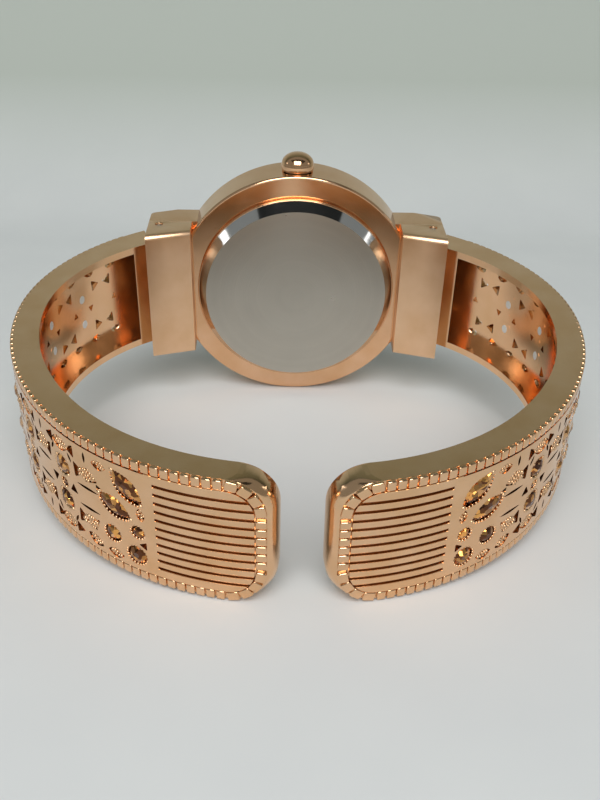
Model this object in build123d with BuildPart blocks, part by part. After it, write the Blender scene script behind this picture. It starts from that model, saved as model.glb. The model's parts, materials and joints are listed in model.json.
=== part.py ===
from build123d import *
import math
import os

os.makedirs("parts", exist_ok=True)

# A ladies' bangle watch: a round quartz case with two open-work cuffs hung on sprung hinges.
# It is drawn upright in the watch's own axes, in millimetres. X runs across the wrist, Y from the
# wrist out through the dial, and Z along the forearm up to the crown. Y is zero on the rear face
# of the case. Each finished piece is then leaned forward into the attitude the watch rests in.

# Fits and cutting
overrun = 1.0
running_gap = 0.04
push_gap = 0.02
hinge_gap = 0.15
stop_gap = 0.05

# Case and its lugs
case_radius = 15.9
case_height = 5.6
case_edge_round = 0.35
seat_bore_radius = 13.0
seat_depth = 1.35
chamber_radius = 12.4
dial_seat_depth = 4.25
dial_bore_radius = 13.6
snap_groove = 0.16
snap_depth = 0.75
lug_half_height = 9.0
lug_outer_x = 19.4
lug_inner_x = 13.8
lug_seam_y = 1.6
lug_outer_top_y = 4.3
lug_inner_top_x = 16.0
lug_corner_round = 0.8

# Hinge
pin_x = 18.0
pin_y = 0.6
pin_radius = 0.5
pin_recess = 0.15
barrel_radius = 1.35
neck_half = 1.0
opening_angle = 18.0
cover_inner_front_y = -1.8
cover_outer_front_y = -3.5
cover_edge_round = 0.7
knuckle_inner_z = 3.0
spring_wire_radius = 0.13
spring_coil_radius = 0.95
spring_turns = 4.25
spring_pitch = 0.45
spring_cuff_leg = 2.6
spring_case_leg = 1.9
spring_slot_gap = 0.1

# Cuff arm, drawn for the right side as three tangent arcs from the tip up to the hinge
cuff_half_width = 7.2
cuff_thickness = 3.05
side_x = 31.9
side_y = -19.5
upper_radius = 27.5
lower_radius = 32.7
front_radius = 29.3
lower_turn = 42.3
upper_turn = 60.0
tip_gap = 4.0
tip_corner_radius = 3.88
tip_flat_half = 3.4
tip_edge_bevel = 1.0
tip_wall = 1.3
inner_end_x = 20.3
inner_end_y = -2.4
end_wall = 1.55
hinge_thickness = 4.2
plate_rim = 0.8
hinge_rim = 1.5
flange_wall = 0.9
face_wall = 0.8
relief_depth = 0.55
face_half_width = 6.0
bead_step_depth = 0.3
bead_line_width = 0.8

# Ribbed tip plate
plate_length = 11.9
rib_count = 12
rib_span = 5.2
rib_groove = 0.34
rib_groove_depth = 0.35
border_width = 1.25
border_groove = 0.18
border_block = 0.95
corner_blocks = 4
end_blocks = 6
border_line = 0.2
end_border_width = 1.9

# Open-work between the tip plate and the hinge
lattice_start = 20.0
lattice_pitch = 7.6
lattice_count = 7
stone_row = 2.1
stone_radius = 1.25
stone_rise = 0.45
collar_width = 0.35
leaf_length = 3.9
leaf_width = 2.7
edge_leaf_row = 4.75
edge_leaf_length = 2.0
edge_leaf_width = 1.9
leaf_rise = 0.12
drop_row = 4.75
drop_spread = 2.05
drop_length = 1.7
drop_width = 1.1
bead_stone_radius = 0.62
marquise_length = 3.7
marquise_width = 1.9
marquise_depth = 0.9
seat_ledge = 0.25
stone_seat_depth = 0.35
stone_pavilion = 0.9
stone_sides = 8
collar_stone_radius = 1.05
collar_stone_places = ((14.2, -4.4), (17.5, -3.0))
small_stone_place = (14.0, -1.0)
marquise_places = ((14.3, 4.2, 45.0), (16.2, 1.3, 22.0))

# Outlines as shares of half their own length and width
leaf_shares = ((1, 0), (0.5, 0.58), (0, 1), (-0.5, 0.58), (-1, 0), (-0.5, -0.58), (0, -1), (0.5, -0.58))
drop_shares = ((1, 0), (0.2, 0.75), (-0.55, 0.9), (-1, 0.3), (-1, -0.3), (-0.55, -0.9), (0.2, -0.75))
marquise_shares = (
    (1, 0), (0.68, 0.55), (0.3, 0.93), (-0.3, 0.93), (-0.68, 0.55),
    (-1, 0), (-0.68, -0.55), (-0.3, -0.93), (0.3, -0.93), (0.68, -0.55),
)
leaf_hand_shares = ((0, 0.45), (0.12, 0.6), (0.55, 1), (1, 0.12), (1, -0.12), (0.55, -1), (0.12, -0.6), (0, -0.45))
table_share = 0.6
culet_share = 0.12
tip_share = 0.85
root_share = 1.05
crest_share = 0.11
foot_share = 0.27

# Case back
lid_disc_radius = 12.0
lid_rise = 2.1
lid_wall = 0.8
lid_bevel_depth = 1.3
lid_skirt_depth = 1.0
snap_bead = 0.1

# Crystal, bezel and dial
bezel_radius = 15.6
bezel_height = 1.9
bezel_shoulder = 0.7
bezel_rim = 0.7
bezel_lip = 0.3
crystal_gasket_wall = 0.4
bezel_spigot = 0.5
crystal_radius = 13.2
crystal_thickness = 1.5
crystal_edge = 0.2
crystal_seat_y = 6.2
crystal_gasket_height = 1.0
dial_thickness = 0.4
dial_hole_radius = 0.9
dial_foot_radius = 0.3
dial_foot_length = 1.0
dial_foot_ring = 8.4
dial_foot_bearings = (110.0, 290.0)
dial_ring_height = 1.45
dial_ring_slope = 0.5
dial_ring_wall = 0.5
marker_radius = 10.6
marker_length = 1.7
marker_width = 0.5
marker_height = 0.22

# Hands
hand_thickness = 0.12
hand_hub_wall = 0.3
hour_hand_y = 5.02
minute_hand_y = 5.34
second_hand_y = 5.66
hour_hand_length = 6.6
minute_hand_length = 9.6
second_hand_length = 10.0
second_hand_tail = 2.6
hour_hand_width = 1.0
minute_hand_width = 0.8
second_hand_width = 0.26
hour_time = 305.0
minute_time = 60.0
second_time = 195.0

# Movement
movement_radius = 9.7
movement_back_y = 1.05
bridge_thickness = 0.35
plate_back_y = 2.75
holder_gap = 0.1
motion_recess_y = 3.55
motion_hour_room = 2.3
motion_minute_room = 2.15
minute_post_radius = 0.2
minute_post_y = 4.15
battery_radius = 3.4
battery_thickness = 2.6
battery_back_y = 1.25
battery_gap = 0.1
battery_step = 0.3
battery_distance = 5.95
battery_bearing = 215.0
screw_head_radius = 0.6
screw_head_height = 0.25
screw_radius = 0.3
screw_length = 1.35
screw_slot_width = 0.16
pillar_radius = 0.75
pillar_ring = 8.5
bridge_pillar_bearings = (20.0, 130.0)
clamp_pillar_bearings = (163.0, 268.0)
clamp_width = 1.6
bridge_pivot_wall = 0.8
pivot_radius = 0.1
board_thickness = 0.2
board_inner_radius = 3.7
board_outer_radius = 9.0
board_start = 6.0
board_end = 76.0
quartz_radius = 0.5
quartz_length = 3.4
quartz_bearing = 58.0
quartz_distance = 7.2
chip_size = 1.5
chip_height = 0.35
chip_bearing = 42.0
coil_bearing = 330.0
coil_distance = 6.6
coil_length = 6.2
coil_radius = 0.85
coil_core_y = 2.0
core_width = 1.2
core_length = 8.6
core_thickness = 0.3
flange_thickness = 0.3
flange_step = 0.15
stator_thickness = 0.3
stator_inner = 2.55
stator_outer = 4.8
stator_half = 4.3
stator_lug = 1.1
magnet_radius = 0.6
magnet_height = 0.45
magnet_gap = 0.15

# Wheel train: distances between arbors, tooth counts, and the plane that each wheel turns in
fourth_to_fifth = 2.2
fifth_to_rotor = 1.47
fourth_to_third = 2.1
cannon_to_minute = 2.4
fifth_bearing = 330.0
third_bearing = 145.0
minute_bearing = 90.0
rotor_leaves = 6
fifth_teeth = 36
fifth_leaves = 6
fourth_teeth = 30
fourth_leaves = 8
third_teeth = 60
third_leaves = 8
centre_teeth = 64
cannon_leaves = 10
minute_teeth = 30
minute_leaves = 8
hour_teeth = 32
wheel_thickness = 0.15
leaf_overlap = 0.06
fourth_wheel_y = 1.5
fifth_wheel_y = 1.78
third_wheel_y = 2.04
centre_wheel_y = 2.32
minute_wheel_y = 3.62
hour_wheel_y = 3.9
arbor_radius = 0.14
centre_bore_radius = 0.19
centre_pipe_radius = 0.3
cannon_pipe_radius = 0.45
hour_pipe_radius = 0.7
centre_pipe_top_y = 4.0

# Crown, stem and setting work
stem_y = 2.8
stem_radius = 0.45
stem_tip_radius = 0.3
stem_end_z = 3.7
tube_outer_radius = 0.95
tube_inner_radius = 0.62
tube_inset = 1.2
tube_stand = 2.0
crown_radius = 2.1
crown_skirt = 1.7
crown_height = 3.3
crown_gap = 0.2
crown_bore_radius = 1.35
crown_bore_depth = 2.3
stem_grip = 0.6
seal_height = 0.5
pull_travel = 1.0
clutch_outer_radius = 0.9
clutch_waist_radius = 0.6
clutch_start_z = 4.5
clutch_length = 1.2
clutch_teeth = 12
clutch_tooth_depth = 0.2
clutch_travel = 0.12
clutch_waist_z = 0.75
clutch_bore_gap = 0.03
yoke_thickness = 0.2
yoke_width = 0.3
yoke_reach = 2.4
yoke_slot_inset = 0.45
yoke_stand = 0.08
yoke_post_radius = 0.22
yoke_body = 1.1
lever_groove_z = 7.0
lever_groove_radius = 0.28
lever_pin_radius = 0.18
lever_gap = 0.06
lever_arm = 2.6
lever_thickness = 0.2
lever_width = 0.9
lever_stand = 0.6
lever_shoulder_radius = 0.42
lever_post_radius = 0.2

# Worked out from the sizes above
lower_centre = (side_x - lower_radius, side_y)
upper_centre = (side_x - upper_radius, side_y)
front_centre = (
    lower_centre[0] + (lower_radius - front_radius) * math.cos(math.radians(lower_turn)),
    side_y - (lower_radius - front_radius) * math.sin(math.radians(lower_turn)),
)
tip_turn = math.degrees(math.acos((tip_gap / 2 - front_centre[0]) / front_radius))
tip_reach = front_radius - front_centre[1]
cuff_arcs = (
    (front_centre, front_radius, -tip_turn, tip_turn - lower_turn),
    (lower_centre, lower_radius, -lower_turn, lower_turn),
    (upper_centre, upper_radius, 0, upper_turn),
)
crystal_top_y = crystal_seat_y + crystal_thickness
tilt = math.degrees(math.atan2(case_radius - cuff_half_width, tip_reach))
lean_cos = math.cos(math.radians(tilt))
lean_sin = math.sin(math.radians(tilt))
rest_front = tip_reach * lean_cos + cuff_half_width * lean_sin
rest_back = crystal_top_y * lean_cos + crystal_radius * lean_sin
rest_lift = case_radius * lean_cos
RESTING = Location((0, (rest_front - rest_back) / 2, rest_lift)) * Location((0, 0, 0), (tilt, 0, 0))


def settle(piece):
    """Lean a finished piece forward so that the watch stands on its case and both cuff tips."""
    label = piece.label
    moved = piece.moved(RESTING)
    moved.label = label
    return moved


def across(y):
    """A plane across the case, drawn as the wrist side sees it: X to the right and Z up."""
    return Plane(origin=(0, y, 0), x_dir=(1, 0, 0), z_dir=(0, -1, 0))


def spot(distance, bearing):
    """A place in the movement by its distance from the centre and its bearing from +X to +Z."""
    return (
        distance * math.cos(math.radians(bearing)),
        distance * math.sin(math.radians(bearing)),
    )


def disc(y_low, y_high, radius, places=((0, 0),)):
    """Round discs across the case from one depth to another."""
    with BuildPart() as discs:
        with BuildSketch(across(y_high)):
            with Locations(*places):
                Circle(radius)
        extrude(amount=y_high - y_low)
    return discs.part


def turned(points):
    """A ring or a disc turned about the case axis from points of radius and depth."""
    with BuildPart() as ring:
        with BuildSketch(Plane.XY):
            with BuildLine():
                Polyline(*points, close=True)
            make_face()
        revolve(axis=Axis.Y)
    return ring.part


def toothed(teeth, mesh_radius, place, y_low, thickness, turn):
    """A toothed wheel of the given pitch radius, with one tooth centred on the bearing turn."""
    module = 2 * mesh_radius / teeth
    tip, root = mesh_radius + module * tip_share, mesh_radius - module * root_share
    points = []
    for tooth in range(teeth):
        for radius, share in ((root, -foot_share), (tip, -crest_share), (tip, crest_share), (root, foot_share)):
            angle = math.radians(turn + (tooth + share) * 360 / teeth)
            points.append((radius * math.cos(angle), radius * math.sin(angle)))
    with BuildPart() as wheel:
        with BuildSketch(across(y_low + thickness)):
            with Locations(place):
                Polygon(*points, align=None)
        extrude(amount=thickness)
    return wheel.part


def cuff_strip(u_from, u_to, depth_from, depth_to):
    """A strip of the cuff's plan between two lengths from the tip and two depths below its face."""
    outer, inner, ends = [], [], []
    passed = 0
    for centre, radius, start, sweep in cuff_arcs:
        length = radius * math.radians(sweep)
        low = max(u_from - passed, 0)
        high = min(u_to - passed, length)
        passed += length
        if high > low:
            angle = start + math.degrees(low / radius)
            size = math.degrees((high - low) / radius)
            outer.append((centre, radius - depth_from, angle, size))
            inner.append((centre, radius - depth_to, angle, size))
            ends.append((centre, angle, size, radius))
    first_centre, first_angle, _, first_radius = ends[0]
    last_centre, last_angle, last_size, last_radius = ends[-1]

    def along(centre, radius, angle):
        return (
            centre[0] + radius * math.cos(math.radians(angle)),
            centre[1] + radius * math.sin(math.radians(angle)),
        )

    with BuildSketch(Plane.XY) as strip:
        with BuildLine():
            for centre, radius, angle, size in outer + inner:
                CenterArc(centre, radius, angle, size)
            Line(
                along(first_centre, first_radius - depth_from, first_angle),
                along(first_centre, first_radius - depth_to, first_angle),
            )
            Line(
                along(last_centre, last_radius - depth_from, last_angle + last_size),
                along(last_centre, last_radius - depth_to, last_angle + last_size),
            )
        make_face()
    return strip.sketch


def on_cuff(u, z, depth=0, turn=0):
    """A plane on the cuff's face at a length from the tip, its X turned up from the way to the hinge."""
    passed = 0
    for centre, radius, start, sweep in cuff_arcs:
        length = radius * math.radians(sweep)
        if u <= passed + length:
            break
        passed += length
    angle = math.radians(start) + (u - passed) / radius
    out_x, out_y = math.cos(angle), math.sin(angle)
    reach = radius - depth
    flat, rise = math.cos(math.radians(turn)), math.sin(math.radians(turn))
    return Plane(
        origin=(centre[0] + reach * out_x, centre[1] + reach * out_y, z),
        x_dir=(-out_y * flat, out_x * flat, rise),
        z_dir=(out_x, out_y, 0),
    )


def faceted(outline, rise, sink):
    """A cut stone over its girdle's outline: a flat table above and a pointed pavilion below."""
    with BuildPart() as crown:
        with BuildSketch(Plane.XY):
            Polygon(*outline, align=None)
        with BuildSketch(Plane.XY.offset(rise)):
            Polygon(*[(x * table_share, y * table_share) for x, y in outline], align=None)
        loft(ruled=True)
    with BuildPart() as pavilion:
        with BuildSketch(Plane.XY):
            Polygon(*outline, align=None)
        with BuildSketch(Plane.XY.offset(-sink)):
            Polygon(*[(x * culet_share, y * culet_share) for x, y in outline], align=None)
        loft(ruled=True)
    return crown.part + pavilion.part


# Room in the right lug and cover for the cuff's knuckles: a bore round the pin, open to the outside
neck_swing = (lug_outer_x - pin_x) * math.tan(math.radians(opening_angle))
neck_swing += neck_half / math.cos(math.radians(opening_angle))
with BuildPart() as hinge_room_block:
    with BuildSketch(Plane.XY.offset(-cuff_half_width - hinge_gap)):
        with Locations((pin_x, pin_y)):
            Circle(barrel_radius + hinge_gap)
        Polygon(
            (pin_x, pin_y - neck_half - hinge_gap),
            (lug_outer_x + overrun, pin_y - neck_half - hinge_gap),
            (lug_outer_x + overrun, pin_y + neck_swing + hinge_gap),
            (pin_x, pin_y + neck_half + hinge_gap),
            align=None,
        )
    extrude(amount=2 * (cuff_half_width + hinge_gap))
hinge_rooms = [hinge_room_block.part, mirror(hinge_room_block.part, about=Plane.YZ)]

# Case with both lugs
with BuildPart() as case_middle:
    with BuildSketch(across(case_height)):
        Circle(case_radius)
    extrude(amount=case_height)
    fillet(case_middle.edges().filter_by(GeomType.CIRCLE).sort_by(Axis.Y)[0], case_edge_round)
    with BuildSketch(Plane.XY.offset(-lug_half_height)):
        with BuildLine():
            Polyline(
                (0, lug_seam_y),
                (lug_outer_x, lug_seam_y),
                (lug_outer_x, lug_outer_top_y),
                (lug_inner_top_x, case_height),
                (0, case_height),
                close=True,
            )
        make_face()
    extrude(amount=2 * lug_half_height)
    outer_edges = case_middle.edges().filter_by(Axis.Z).group_by(Axis.X)[-1].sort_by(Axis.Y)
    fillet(outer_edges[-1], lug_corner_round)
    with BuildSketch(Plane.XY.offset(-lug_half_height - push_gap)):
        with BuildLine():
            Polyline(
                (lug_inner_x - push_gap, -overrun),
                (lug_outer_x + overrun, -overrun),
                (lug_outer_x + overrun, lug_seam_y),
                (lug_inner_x - push_gap, lug_seam_y),
                close=True,
            )
        make_face()
    extrude(amount=2 * (lug_half_height + push_gap), mode=Mode.SUBTRACT)
    split(bisect_by=Plane.YZ, keep=Keep.TOP)
    mirror(about=Plane.YZ)
    case_bore = turned(
        (
            (0, -overrun),
            (seat_bore_radius, -overrun),
            (seat_bore_radius, snap_depth - snap_groove),
            (seat_bore_radius + snap_groove, snap_depth),
            (seat_bore_radius, snap_depth + snap_groove),
            (seat_bore_radius, seat_depth),
            (chamber_radius, seat_depth),
            (chamber_radius, dial_seat_depth),
            (dial_bore_radius, dial_seat_depth),
            (dial_bore_radius, case_height + overrun),
            (0, case_height + overrun),
        )
    )
    add(case_bore, mode=Mode.SUBTRACT)
    add(hinge_rooms, mode=Mode.SUBTRACT)
    with Locations((0, stem_y, chamber_radius - overrun)):
        Cylinder(
            tube_outer_radius + push_gap,
            case_radius - chamber_radius + 2 * overrun,
            align=(Align.CENTER, Align.CENTER, Align.MIN),
            mode=Mode.SUBTRACT,
        )
case_middle.part.label = "case_middle"
export_step(settle(case_middle.part), "parts/case_middle.step")

# Snap-on back: a flat disc with a bevel round it and a skirt that clicks into the case
lid_radius = seat_bore_radius - push_gap
with BuildPart() as case_back:
    add(
        turned(
            (
                (0, -lid_rise),
                (lid_disc_radius, -lid_rise),
                (lid_radius, lid_bevel_depth - lid_rise),
                (lid_radius, snap_depth - snap_bead),
                (lid_radius + snap_bead, snap_depth),
                (lid_radius, snap_depth + snap_bead),
                (lid_radius, lid_skirt_depth),
                (lid_radius - lid_wall, lid_skirt_depth),
                (lid_radius - lid_wall, lid_wall - lid_rise),
                (0, lid_wall - lid_rise),
            )
        )
    )
case_back.part.label = "case_back"
export_step(settle(case_back.part), "parts/case_back.step")

# Flat sealing ring between the skirt and the step in the case
with BuildPart() as case_back_gasket:
    add(
        turned(
            (
                (chamber_radius + push_gap, lid_skirt_depth),
                (lid_radius, lid_skirt_depth),
                (lid_radius, seat_depth),
                (chamber_radius + push_gap, seat_depth),
            )
        )
    )
case_back_gasket.part.label = "case_back_gasket"
export_step(settle(case_back_gasket.part), "parts/case_back_gasket.step")

# Bezel pressed into the dial side of the case, with a lip under the crystal
bezel_bore = crystal_radius + crystal_gasket_wall
lip_radius = crystal_radius - bezel_lip
bezel_top_y = case_height + bezel_height
with BuildPart() as bezel:
    add(
        turned(
            (
                (lip_radius, case_height - bezel_spigot),
                (dial_bore_radius - push_gap, case_height - bezel_spigot),
                (dial_bore_radius - push_gap, case_height),
                (bezel_radius, case_height),
                (bezel_radius, case_height + bezel_shoulder),
                (bezel_bore + bezel_rim, bezel_top_y),
                (bezel_bore, bezel_top_y),
                (bezel_bore, crystal_seat_y),
                (lip_radius, crystal_seat_y),
            )
        )
    )
bezel.part.label = "bezel"
export_step(settle(bezel.part), "parts/bezel.step")

with BuildPart() as crystal_gasket:
    add(
        turned(
            (
                (crystal_radius, crystal_seat_y),
                (bezel_bore, crystal_seat_y),
                (bezel_bore, crystal_seat_y + crystal_gasket_height),
                (crystal_radius, crystal_seat_y + crystal_gasket_height),
            )
        )
    )
crystal_gasket.part.label = "crystal_gasket"
export_step(settle(crystal_gasket.part), "parts/crystal_gasket.step")

with BuildPart() as crystal:
    add(disc(crystal_seat_y, crystal_top_y, crystal_radius))
    chamfer(crystal.edges().filter_by(GeomType.CIRCLE).sort_by(Axis.Y)[-1], crystal_edge)
crystal.part.label = "crystal"
export_step(settle(crystal.part), "parts/crystal.step")

# Dial on its step, with two feet in the main plate
dial_top_y = dial_seat_depth + dial_thickness
dial_foot_places = [spot(dial_foot_ring, bearing) for bearing in dial_foot_bearings]
with BuildPart() as dial:
    add(disc(dial_seat_depth, dial_top_y, dial_bore_radius - push_gap))
    add(disc(dial_seat_depth - dial_foot_length, dial_seat_depth, dial_foot_radius, dial_foot_places))
    add(disc(dial_seat_depth - overrun, dial_top_y + overrun, dial_hole_radius), mode=Mode.SUBTRACT)
dial.part.label = "dial"
export_step(settle(dial.part), "parts/dial.step")

with BuildPart() as dial_ring:
    add(
        turned(
            (
                (lip_radius - push_gap, dial_top_y),
                (lip_radius - push_gap, dial_top_y + dial_ring_height),
                (lip_radius - push_gap - dial_ring_wall, dial_top_y + dial_ring_height),
                (lip_radius - push_gap - dial_ring_wall - dial_ring_slope, dial_top_y),
            )
        )
    )
dial_ring.part.label = "dial_ring"
export_step(settle(dial_ring.part), "parts/dial_ring.step")

# Twelve plain batons, the four quarter hours twice as wide
with BuildPart() as dial_markers:
    for hour in range(12):
        width = marker_width * (2 if hour % 3 == 0 else 1)
        with BuildSketch(across(dial_top_y + marker_height)):
            with Locations(Location((0, 0, 0), (0, 0, hour * 30))):
                with Locations((marker_radius, 0)):
                    Rectangle(marker_length, width)
        extrude(amount=marker_height)
dial_markers.part.label = "dial_markers"
export_step(settle(dial_markers.part), "parts/dial_markers.step")


def pointed_hand(y, length, width, hub_radius, hole_radius, bearing, tail):
    """A flat hand that lies over its hub and points at a bearing, with an optional tail."""
    with BuildPart() as hand:
        with BuildSketch(across(y + hand_thickness)):
            with Locations(Location((0, 0, 0), (0, 0, bearing))):
                Polygon(*[(x * length, z * width / 2) for x, z in leaf_hand_shares], align=None)
                if tail > 0:
                    with Locations((-tail / 2, 0)):
                        Rectangle(tail, width)
            Circle(hub_radius)
            Circle(hole_radius, mode=Mode.SUBTRACT)
        extrude(amount=hand_thickness)
    return hand.part


with BuildPart() as hour_hand:
    add(
        pointed_hand(
            hour_hand_y, hour_hand_length, hour_hand_width,
            hour_pipe_radius + hand_hub_wall, hour_pipe_radius, hour_time, 0,
        )
    )
hour_hand.part.label = "hour_hand"
export_step(settle(hour_hand.part), "parts/hour_hand.step")

with BuildPart() as minute_hand:
    add(
        pointed_hand(
            minute_hand_y, minute_hand_length, minute_hand_width,
            cannon_pipe_radius + hand_hub_wall, cannon_pipe_radius, minute_time, 0,
        )
    )
minute_hand.part.label = "minute_hand"
export_step(settle(minute_hand.part), "parts/minute_hand.step")

with BuildPart() as second_hand:
    add(
        pointed_hand(
            second_hand_y, second_hand_length, second_hand_width,
            arbor_radius + hand_hub_wall, arbor_radius, second_time, second_hand_tail,
        )
    )
second_hand.part.label = "second_hand"
export_step(settle(second_hand.part), "parts/second_hand.step")

# Movement. Arbors stand on the centre, and at these places round it
fifth_place = spot(fourth_to_fifth, fifth_bearing)
rotor_place = spot(fourth_to_fifth + fifth_to_rotor, fifth_bearing)
third_place = spot(fourth_to_third, third_bearing)
minute_place = spot(cannon_to_minute, minute_bearing)
battery_place = spot(battery_distance, battery_bearing)
bridge_pillars = [spot(pillar_ring, bearing) for bearing in bridge_pillar_bearings]
clamp_pillars = [spot(pillar_ring, bearing) for bearing in clamp_pillar_bearings]
bridge_front_y = movement_back_y + bridge_thickness
clamp_front_y = battery_back_y
pivot_end_y = plate_back_y + bridge_thickness
pivot_hole = pivot_radius + push_gap

# Pitch radii that share out the distances between the arbors
rotor_mesh = fifth_to_rotor * rotor_leaves / (rotor_leaves + fifth_teeth)
fifth_mesh = fifth_to_rotor - rotor_mesh
fifth_leaf_mesh = fourth_to_fifth * fifth_leaves / (fifth_leaves + fourth_teeth)
fourth_mesh = fourth_to_fifth - fifth_leaf_mesh
fourth_leaf_mesh = fourth_to_third * fourth_leaves / (fourth_leaves + third_teeth)
third_mesh = fourth_to_third - fourth_leaf_mesh
third_leaf_mesh = fourth_to_third * third_leaves / (third_leaves + centre_teeth)
centre_mesh = fourth_to_third - third_leaf_mesh
cannon_mesh = cannon_to_minute * cannon_leaves / (cannon_leaves + minute_teeth)
minute_mesh = cannon_to_minute - cannon_mesh
minute_leaf_mesh = cannon_to_minute * minute_leaves / (minute_leaves + hour_teeth)
hour_mesh = cannon_to_minute - minute_leaf_mesh


def facing_gap(teeth, bearing):
    """The bearing of a tooth that leaves a gap facing the given bearing."""
    return bearing + 180 / teeth


# Main plate: web, pockets for the battery, coil and stem, and pillars towards the back
channel_radius = stem_radius + holder_gap
with BuildPart() as main_plate:
    add(disc(plate_back_y, dial_seat_depth, movement_radius))
    add(disc(bridge_front_y, plate_back_y, pillar_radius, bridge_pillars))
    add(disc(clamp_front_y, plate_back_y, pillar_radius, clamp_pillars))
    battery_pocket_y = battery_back_y + battery_thickness + holder_gap
    add(
        disc(plate_back_y - overrun, battery_pocket_y, battery_radius + battery_gap, [battery_place]),
        mode=Mode.SUBTRACT,
    )
    add(disc(motion_recess_y, dial_seat_depth + overrun, motion_hour_room), mode=Mode.SUBTRACT)
    add(
        disc(motion_recess_y, dial_seat_depth + overrun, motion_minute_room, [minute_place]),
        mode=Mode.SUBTRACT,
    )
    add(disc(plate_back_y - overrun, motion_recess_y, centre_pipe_radius + running_gap), mode=Mode.SUBTRACT)
    pivots = [fifth_place, rotor_place, third_place]
    add(disc(plate_back_y - overrun, pivot_end_y, pivot_hole, pivots), mode=Mode.SUBTRACT)
    screw_end_y = movement_back_y + screw_length
    add(
        disc(clamp_front_y - overrun, screw_end_y, screw_radius + push_gap, bridge_pillars + clamp_pillars),
        mode=Mode.SUBTRACT,
    )
    add(
        disc(dial_seat_depth - dial_foot_length - push_gap, dial_seat_depth + overrun,
             dial_foot_radius + push_gap, dial_foot_places),
        mode=Mode.SUBTRACT,
    )
    with Locations((0, stem_y, stem_end_z - running_gap)):
        Cylinder(
            channel_radius, movement_radius, align=(Align.CENTER, Align.CENTER, Align.MIN), mode=Mode.SUBTRACT
        )
    with Locations((0, stem_y, clutch_start_z - clutch_travel - running_gap)):
        Cylinder(
            clutch_outer_radius + holder_gap,
            clutch_length + clutch_travel + 2 * running_gap,
            align=(Align.CENTER, Align.CENTER, Align.MIN),
            mode=Mode.SUBTRACT,
        )
    coil_place = spot(coil_distance, coil_bearing)
    coil_axis = Location((coil_place[0], coil_core_y, coil_place[1]), (0, -coil_bearing, 0))
    with Locations(coil_axis):
        Cylinder(coil_radius + holder_gap, core_length, mode=Mode.SUBTRACT)
    add(disc(motion_recess_y - push_gap, minute_post_y, minute_post_radius, [minute_place]))
    lever_place = (-lever_arm, lever_groove_z + pull_travel / 2)
    lever_top_y = plate_back_y - lever_stand
    add(disc(lever_top_y, plate_back_y + push_gap, lever_shoulder_radius, [lever_place]))
    add(disc(lever_top_y - lever_thickness - lever_gap, lever_top_y, lever_post_radius, [lever_place]))
    yoke_place = (yoke_reach + yoke_slot_inset, clutch_start_z + clutch_waist_z)
    add(disc(plate_back_y - 2 * yoke_thickness - yoke_stand, plate_back_y + push_gap, yoke_post_radius, [yoke_place]))
main_plate.part.label = "main_plate"
export_step(settle(main_plate.part), "parts/main_plate.step")

# Bridge over the train, on two pillars
with BuildPart() as train_bridge:
    with BuildSketch(across(bridge_front_y)):
        with Locations(*bridge_pillars, third_place, rotor_place):
            Circle(bridge_pivot_wall)
        make_hull()
    extrude(amount=bridge_thickness)
    add(
        disc(movement_back_y - overrun, bridge_front_y + overrun, pivot_hole, pivots + [(0, 0)]),
        mode=Mode.SUBTRACT,
    )
    add(
        disc(movement_back_y - overrun, bridge_front_y + overrun, screw_radius + push_gap, bridge_pillars),
        mode=Mode.SUBTRACT,
    )
train_bridge.part.label = "train_bridge"
export_step(settle(train_bridge.part), "parts/train_bridge.step")

with BuildPart() as battery:
    add(disc(battery_back_y, battery_back_y + battery_thickness, battery_radius, [battery_place]))
    chamfer(battery.edges().filter_by(GeomType.CIRCLE).sort_by(Axis.Y)[-1], battery_step)
battery.part.label = "battery"
export_step(settle(battery.part), "parts/battery.step")

with BuildPart() as battery_clamp:
    with BuildSketch(across(clamp_front_y)):
        with Locations(*clamp_pillars):
            Circle(clamp_width / 2)
        make_hull()
    extrude(amount=clamp_front_y - movement_back_y)
    add(
        disc(movement_back_y - overrun, clamp_front_y + overrun, screw_radius + push_gap, clamp_pillars),
        mode=Mode.SUBTRACT,
    )
battery_clamp.part.label = "battery_clamp"
export_step(settle(battery_clamp.part), "parts/battery_clamp.step")

with BuildPart() as movement_screws:
    for place in bridge_pillars + clamp_pillars:
        add(disc(movement_back_y - screw_head_height, movement_back_y, screw_head_radius, [place]))
        add(disc(movement_back_y, screw_end_y - push_gap, screw_radius, [place]))
    with BuildSketch(across(movement_back_y - screw_head_height / 2)):
        with Locations(*bridge_pillars, *clamp_pillars):
            Rectangle(2 * screw_head_radius + push_gap, screw_slot_width)
    extrude(amount=screw_head_height, mode=Mode.SUBTRACT)
movement_screws.part.label = "movement_screws"
export_step(settle(movement_screws.part), "parts/movement_screws.step")

# Circuit board with its chip, and the quartz can that lies on it
board_front_y = bridge_front_y + running_gap + board_thickness
with BuildPart() as circuit_board:
    with BuildSketch(across(board_front_y)):
        with BuildLine():
            CenterArc((0, 0), board_outer_radius, board_start, board_end - board_start)
            CenterArc((0, 0), board_inner_radius, board_start, board_end - board_start)
            Line(spot(board_inner_radius, board_start), spot(board_outer_radius, board_start))
            Line(spot(board_inner_radius, board_end), spot(board_outer_radius, board_end))
        make_face()
    extrude(amount=board_thickness)
    with BuildSketch(across(board_front_y + chip_height)):
        with Locations(spot((board_inner_radius + board_outer_radius) / 2, chip_bearing)):
            Rectangle(chip_size, chip_size)
    extrude(amount=chip_height)
    add(
        disc(bridge_front_y, board_front_y + overrun, pillar_radius + running_gap, bridge_pillars),
        mode=Mode.SUBTRACT,
    )
circuit_board.part.label = "circuit_board"
export_step(settle(circuit_board.part), "parts/circuit_board.step")

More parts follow.
